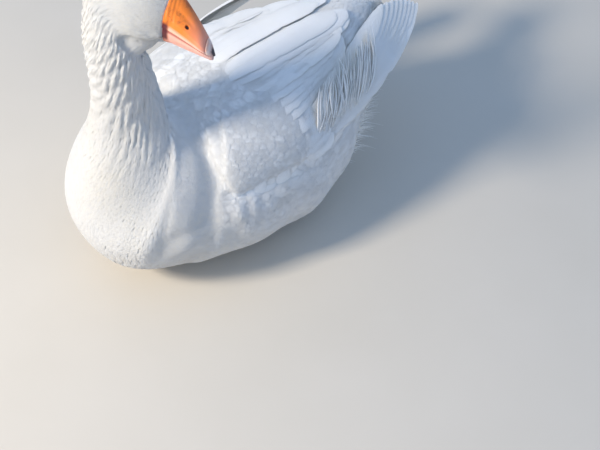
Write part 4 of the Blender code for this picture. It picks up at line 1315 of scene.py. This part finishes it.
def makeNail():
    # thicker, paler horn, polished by grazing, darkening to painted shade at its front edge
    # the ramp's last two stops are painted shade on the nail's front
    colours = [(0.86, bill["nailBase"]), (0.905, bill["nail"]), (0.965, bill["nailShadeOnset"]),
               (0.99, bill["nailShadeEdge"])]
    material, tree, shader, ramp = hornBase("bill nail", colours, 0.30)[:4]
    tree.links.new(ramp.outputs[0], shader.inputs["Base Color"])
    return material


buildBill()
report("bill made")

# eyes

eyeball = {"iris": "#3A6286", "irisLight": "#5F8BAE", "irisRim": "#1C2E40", "pupil": "#050608",
           "surround": "#2B2422", "lid": "#E7902F", "lidFold": "#C96E22"}


def makeEyeMaterial():
    # wet cornea: mirror-smooth over a blue iris with a black pupil
    material, tree, shader = newMaterial("eye", {"Roughness": 0.07, "IOR": 1.376, "Coat Weight": 1.0,
                                                 "Coat Roughness": 0.02})
    own = addNode(tree, "ShaderNodeUVMap", {"uv_map": "irisPlace"})
    split = addNode(tree, "ShaderNodeSeparateXYZ", None, {"Vector": own.outputs[0]})
    spokes = addNode(tree, "ShaderNodeTexNoise", {"Scale": 40.0, "Detail": 2.0}, {"Vector": own.outputs[0]})
    wobble = addNode(tree, "ShaderNodeMath", {"operation": "MULTIPLY_ADD", 1: 0.012, 2: -0.006},
                     {0: spokes.outputs[0]})
    along = addNode(tree, "ShaderNodeMath", {"operation": "ADD"},
                    {0: split.outputs[1], 1: wobble.outputs[0]})
    ramp = addNode(tree, "ShaderNodeValToRGB", None, {"Fac": along.outputs[0]})
    setStops(ramp.color_ramp, [(0.100, eyeball["pupil"]), (0.112, eyeball["iris"]),
                               (0.185, eyeball["irisLight"]), (0.225, eyeball["irisRim"]),
                               (0.30, eyeball["surround"])])
    tree.links.new(ramp.outputs[0], shader.inputs["Base Color"])
    return material


def makeLidMaterial():
    # bare lid skin: orange, finely wrinkled, a little moist
    material, tree, shader = newMaterial("lid skin", {"Roughness": 0.45, "IOR": 1.40})
    place = addNode(tree, "ShaderNodeTexCoord")
    cells = addNode(tree, "ShaderNodeTexVoronoi", {"Scale": 1500.0}, {"Vector": place.outputs["Object"]})
    colour = addNode(tree, "ShaderNodeMix", {"data_type": "RGBA", 6: hexColour(eyeball["lidFold"]),
                                             7: hexColour(eyeball["lid"])}, {0: cells.outputs[0]})
    bump = addNode(tree, "ShaderNodeBump", {"Strength": 0.5, "Distance": 0.0002},
                   {"Height": cells.outputs[0]})
    tree.links.new(colour.outputs[2], shader.inputs["Base Color"])
    tree.links.new(bump.outputs[0], shader.inputs["Normal"])
    return material


def buildEye(word, side, ballMaterial, lidMaterial):
    # the ball and its lids; q runs round the way the eye looks
    centre, out, forward, up = eyeFrame(side)
    around = eye["around"]
    q = (np.arange(around) * 2 * math.pi / around)[None]

    def onBall(p, radius):
        # a place at polar angle p from the way the eye looks
        ring = np.cos(q)[..., None] * forward + np.sin(q)[..., None] * up * side
        return centre + radius[..., None] * (np.cos(p)[..., None] * out + np.sin(p)[..., None] * ring)
    # ball: the cornea bulges as a bell of p
    p = np.linspace(0.0, 1.0, eye["ballRows"])[:, None] * math.radians(125)
    ball = onBall(np.maximum(p, 0.001), eye["radius"] + eye["corneaBulge"] * bell(p, math.radians(30)))
    place = pairMap(q / (2 * math.pi), p / math.pi).reshape(-1, 2)
    mesh = fillMesh("eyeball_" + word, ball.reshape(-1, 3), *tubeFaces(eye["ballRows"], around),
                    {"OFBake": place, "irisPlace": place})
    addPiece("eyeball_" + word, mesh, ballMaterial, ["eye_" + word])
    # lids: an opening a little longer than high, a thick rounded margin, then a fold that sinks in
    opening = np.radians(eye["openingHigh"] + eye["openingLonger"] * np.abs(np.cos(q)) ** 1.6)
    v = np.linspace(0, 1, eye["lidRows"])[:, None]
    margin = -0.0003 + eye["lidRim"] * np.sin(np.clip(v / 0.34, 0, 1) * math.pi * 0.5)
    folds = 0.0003 * bell(v - 0.60, 0.10) - 0.0004 * bell(v - 0.42, 0.07)
    sinks = eye["lidSink"] * smoothStep((v - 0.6) / 0.4)
    polar = opening + v * (math.radians(eye["lidEnd"]) - opening)
    lid = onBall(polar, eye["radius"] + margin + folds - sinks + 0 * q)
    under = lid - eye["lidThickness"] * unit(lid - centre)
    ring = np.concatenate([lid, under[::-1]], 0)
    rows = len(ring)
    quads = sheetQuads(rows + 1, around, wrap=True) % (rows * around)      # the last row joins the first
    place = pairMap(np.arange(around) / around, (np.arange(rows) / rows)[:, None]).reshape(-1, 2)
    mesh = fillMesh("eyelids_" + word, ring.reshape(-1, 3), quads, None, {"OFBake": place})
    addPiece("eyelids_" + word, mesh, lidMaterial)


ballMaterial, lidMaterial = makeEyeMaterial(), makeLidMaterial()
for word, fit in wings.items():
    buildEye(word, fit["side"], ballMaterial, lidMaterial)
report("eyes made")

# feet

foot = {"x": 0.037, "heelY": 0.026, "length": 0.078, "halfWidths": (0.007, 0.031), "shankLength": 0.084,
        "shankRadius": 0.0056, "clawLength": 0.0080, "clawRadius": 0.0021,
        "webThickness": 0.0016, "toeHeight": 0.0046, "toeTaper": 0.0020, "scallop": 0.010,
        "rows": 40, "webColumns": 61, "shankSides": 24, "clawRows": 9, "clawSides": 8,
        "skin": "#E58A35", "skinDark": "#C4661F", "claw": "#CDBBA2", "clawDark": "#7A6A58"}


def makeFootSkin():
    # scaled leathery skin over tendons, orange, in plates a few millimetres across
    material, tree, shader = newMaterial("foot skin", {"Roughness": 0.52, "IOR": 1.45})
    place = addNode(tree, "ShaderNodeTexCoord")
    cells = addNode(tree, "ShaderNodeTexVoronoi", {"Scale": 420.0, "feature": "DISTANCE_TO_EDGE"},
                    {"Vector": place.outputs["Object"]})
    seam = addNode(tree, "ShaderNodeMapRange", {"From Max": 0.12}, {"Value": cells.outputs[0]})
    colour = addNode(tree, "ShaderNodeMix", {"data_type": "RGBA", 6: hexColour(foot["skinDark"]),
                                             7: hexColour(foot["skin"])}, {0: seam.outputs[0]})
    bump = addNode(tree, "ShaderNodeBump", {"Strength": 0.6, "Distance": 0.0004},
                   {"Height": seam.outputs[0]})
    tree.links.new(colour.outputs[2], shader.inputs["Base Color"])
    tree.links.new(bump.outputs[0], shader.inputs["Normal"])
    return material


def toeReach(q):
    # how far the toes reach: the middle one, at q = 0, farthest
    return foot["length"] * (1 - 0.16 * q ** 2)


def groundMap(points):
    # seen from above
    return points[..., :2].reshape(-1, 2) * 4 + 0.5


def buildFoot(word, side, material):
    # web between three toes: their reach less a scallop between them; toes are rounded ridges
    rows, sides = foot["rows"], foot["shankSides"]
    s, q = np.meshgrid(np.linspace(0, 1, rows), np.linspace(-1, 1, foot["webColumns"]), indexing="ij")
    narrow, wide = foot["halfWidths"]
    toes = (0.5 + 0.5 * np.cos(q * 2 * math.pi)) ** 1.8
    x = side * foot["x"] + q * (narrow + (wide - narrow) * s ** 1.2)
    y = foot["heelY"] - (toeReach(q) - foot["scallop"] * (1 - toes)) * s
    joints = 0.0005 * np.cos(s * 22) * toes
    thin, high = foot["webThickness"], foot["toeHeight"] - foot["toeTaper"] * s
    top = thin + high * toes + joints + thin * (1 - s) * (1 - q ** 2)
    top = top * np.clip(1.02 - s ** 24, 0.12, 1) * np.clip((1.0 - np.abs(q)) / 0.10, 0.2, 1)
    upper = np.stack([x, y, top], -1)
    lower = np.stack([x, y, np.full_like(x, 0.0001)], -1)
    ring = np.concatenate([upper, lower[:, ::-1]], 1)
    mesh = fillMesh("web_" + word, ring.reshape(-1, 3), *tubeFaces(rows, ring.shape[1]),
                    {"OFBake": groundMap(ring)}, None, 60)
    addPiece("web_" + word, mesh, material, ["foot_" + word])
    # shank: a rod that swells at both joints, laid back along the floor
    s, a = np.linspace(0, 1, rows)[:, None], (np.arange(sides) * 2 * math.pi / sides)[None]
    ends = np.sqrt(np.clip(hump(s, 8), 0.02, 1.0))
    radius = foot["shankRadius"] * ends * (1 + 0.25 * smoothStep((s - 0.75) / 0.2))
    radius = radius + 0.0002 * np.cos(s * 60) * np.sin(a)
    x = side * foot["x"] + 0.004 * side * s + radius * np.cos(a)
    y = foot["heelY"] + 0.001 + foot["shankLength"] * s + 0 * a
    z = np.maximum(foot["shankRadius"] * 0.9 + radius * np.sin(a), 0.0001)
    mesh = fillMesh("tarsus_" + word, np.stack([x, y, z], -1).reshape(-1, 3), *tubeFaces(rows, sides),
                    {"OFBake": pairMap(a / 7, s * 0.9).reshape(-1, 2)})
    addPiece("tarsus_" + word, mesh, material, ["shank_" + word])


def buildClaws(word, side, material):
    # one cone per toe: forward by v, fanned out by q, its line drooping as v^2 to the floor
    toes, rows, sides = 3, foot["clawRows"], foot["clawSides"]
    q, v = np.linspace(-1, 1, toes)[:, None], np.linspace(0, 1, rows)[None]
    x = side * foot["x"] + 0.94 * q * foot["halfWidths"][1] + 0.35 * q * foot["clawLength"] * v
    y = foot["heelY"] - (toeReach(q) - 0.0025) - foot["clawLength"] * v
    centre = np.stack([x, y, 0.0032 - 0.0022 * v ** 2 + 0 * q], -1)
    along = unit(np.gradient(centre, axis=1))
    up = unit(np.array([0, 0, 1.0]) - along * along[..., 2:])
    rods = shafts(centre, np.cross(up, along), up, foot["clawRadius"], sides, 0.93)
    rods[..., 2] = np.maximum(rods[..., 2], 0.0002)
    mesh = fillMesh("claws_" + word, rods.reshape(-1, 3), *tubeFaces(rows, sides, toes),
                    {"OFBake": groundMap(rods)})
    addPiece("claws_" + word, mesh, material)


footSkin = makeFootSkin()
# hard keratin over the last toe bone: yellowish grey, worn to a half gloss
clawHorn = mottledMaterial("claw horn", {"Roughness": 0.38, "IOR": 1.54}, 500.0, 2.0, foot["claw"],
                           foot["clawDark"])
for word, fit in wings.items():
    buildFoot(word, fit["side"], footSkin)
    buildClaws(word, fit["side"], clawHorn)
report("feet made")

# floor, light and camera

studio = {
    "floor": "#CFC8BC", "floorDark": "#C7C0B3", "floorHalf": 8, "aim": (0.0, -0.02, 0.18),
    "key": {"way": (-0.22, -0.80, 0.60), "distance": 2.3, "size": 0.42, "power": 68.0, "colour": "#FFF4E4"},
    "fill": {"way": (0.9, -0.1, 0.6), "distance": 2.6, "size": 2.0, "power": 2.0, "colour": "#E8EEFF"},
    "sky": "#B3D2FF", "skyStrength": 0.76,
}


def buildStudio():
    # a pale floor, a small warm key that casts the head's shadow, a wide cool fill and a blue sky
    half = studio["floorHalf"]
    mesh = bpy.data.meshes.new("floor")
    corners = [(-half, -half, 0), (half, -half, 0), (half, half, 0), (-half, half, 0)]
    mesh.from_pydata(corners, [], [(0, 1, 2, 3)])
    floor = bpy.data.objects.new("floor", mesh)
    bpy.context.scene.collection.objects.link(floor)
    # rolled floor paint: matt, with hardly a highlight
    paint = mottledMaterial("floor paint", {"Roughness": 0.9, "Specular IOR Level": 0.2}, 6.0, 4.0,
                            studio["floor"], studio["floorDark"])
    mesh.materials.append(paint)
    for name in ("key", "fill"):
        light, data = studio[name], bpy.data.lights.new(name, "AREA")
        data.size, data.energy, data.color = light["size"], light["power"], hexColour(light["colour"])[:3]
        lamp = bpy.data.objects.new(name, data)
        bpy.context.scene.collection.objects.link(lamp)
        way = unit(np.array(light["way"]))
        lamp.location = tuple(np.array(studio["aim"]) + way * light["distance"])
        lamp.rotation_euler = Vector(tuple(-way)).to_track_quat("-Z", "Y").to_euler()
    world = bpy.data.worlds.new("studio")
    bpy.context.scene.world = world
    world.use_nodes = True
    sky = world.node_tree.nodes["Background"]
    sky.inputs["Color"].default_value = hexColour(studio["sky"])
    sky.inputs["Strength"].default_value = studio["skyStrength"]


camera = {"place": (0.721915, -0.584595, 0.936413), "back": (0.487199, -0.483336, 0.727340), "lens": 62.25,
          "sensor": 36.0}


def buildCamera():
    # looks down on the goose from its front left; back is the way from the subject to the lens
    data = bpy.data.cameras.new("camera")
    data.lens, data.sensor_width = camera["lens"], camera["sensor"]
    item = bpy.data.objects.new("camera", data)
    bpy.context.scene.collection.objects.link(item)
    item.location = camera["place"]
    item.rotation_euler = Vector(camera["back"]).to_track_quat("Z", "Y").to_euler()
    bpy.context.scene.camera = item


buildStudio()
buildCamera()
bpy.context.scene.view_settings.view_transform = "Standard"

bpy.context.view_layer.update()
report("scene done")
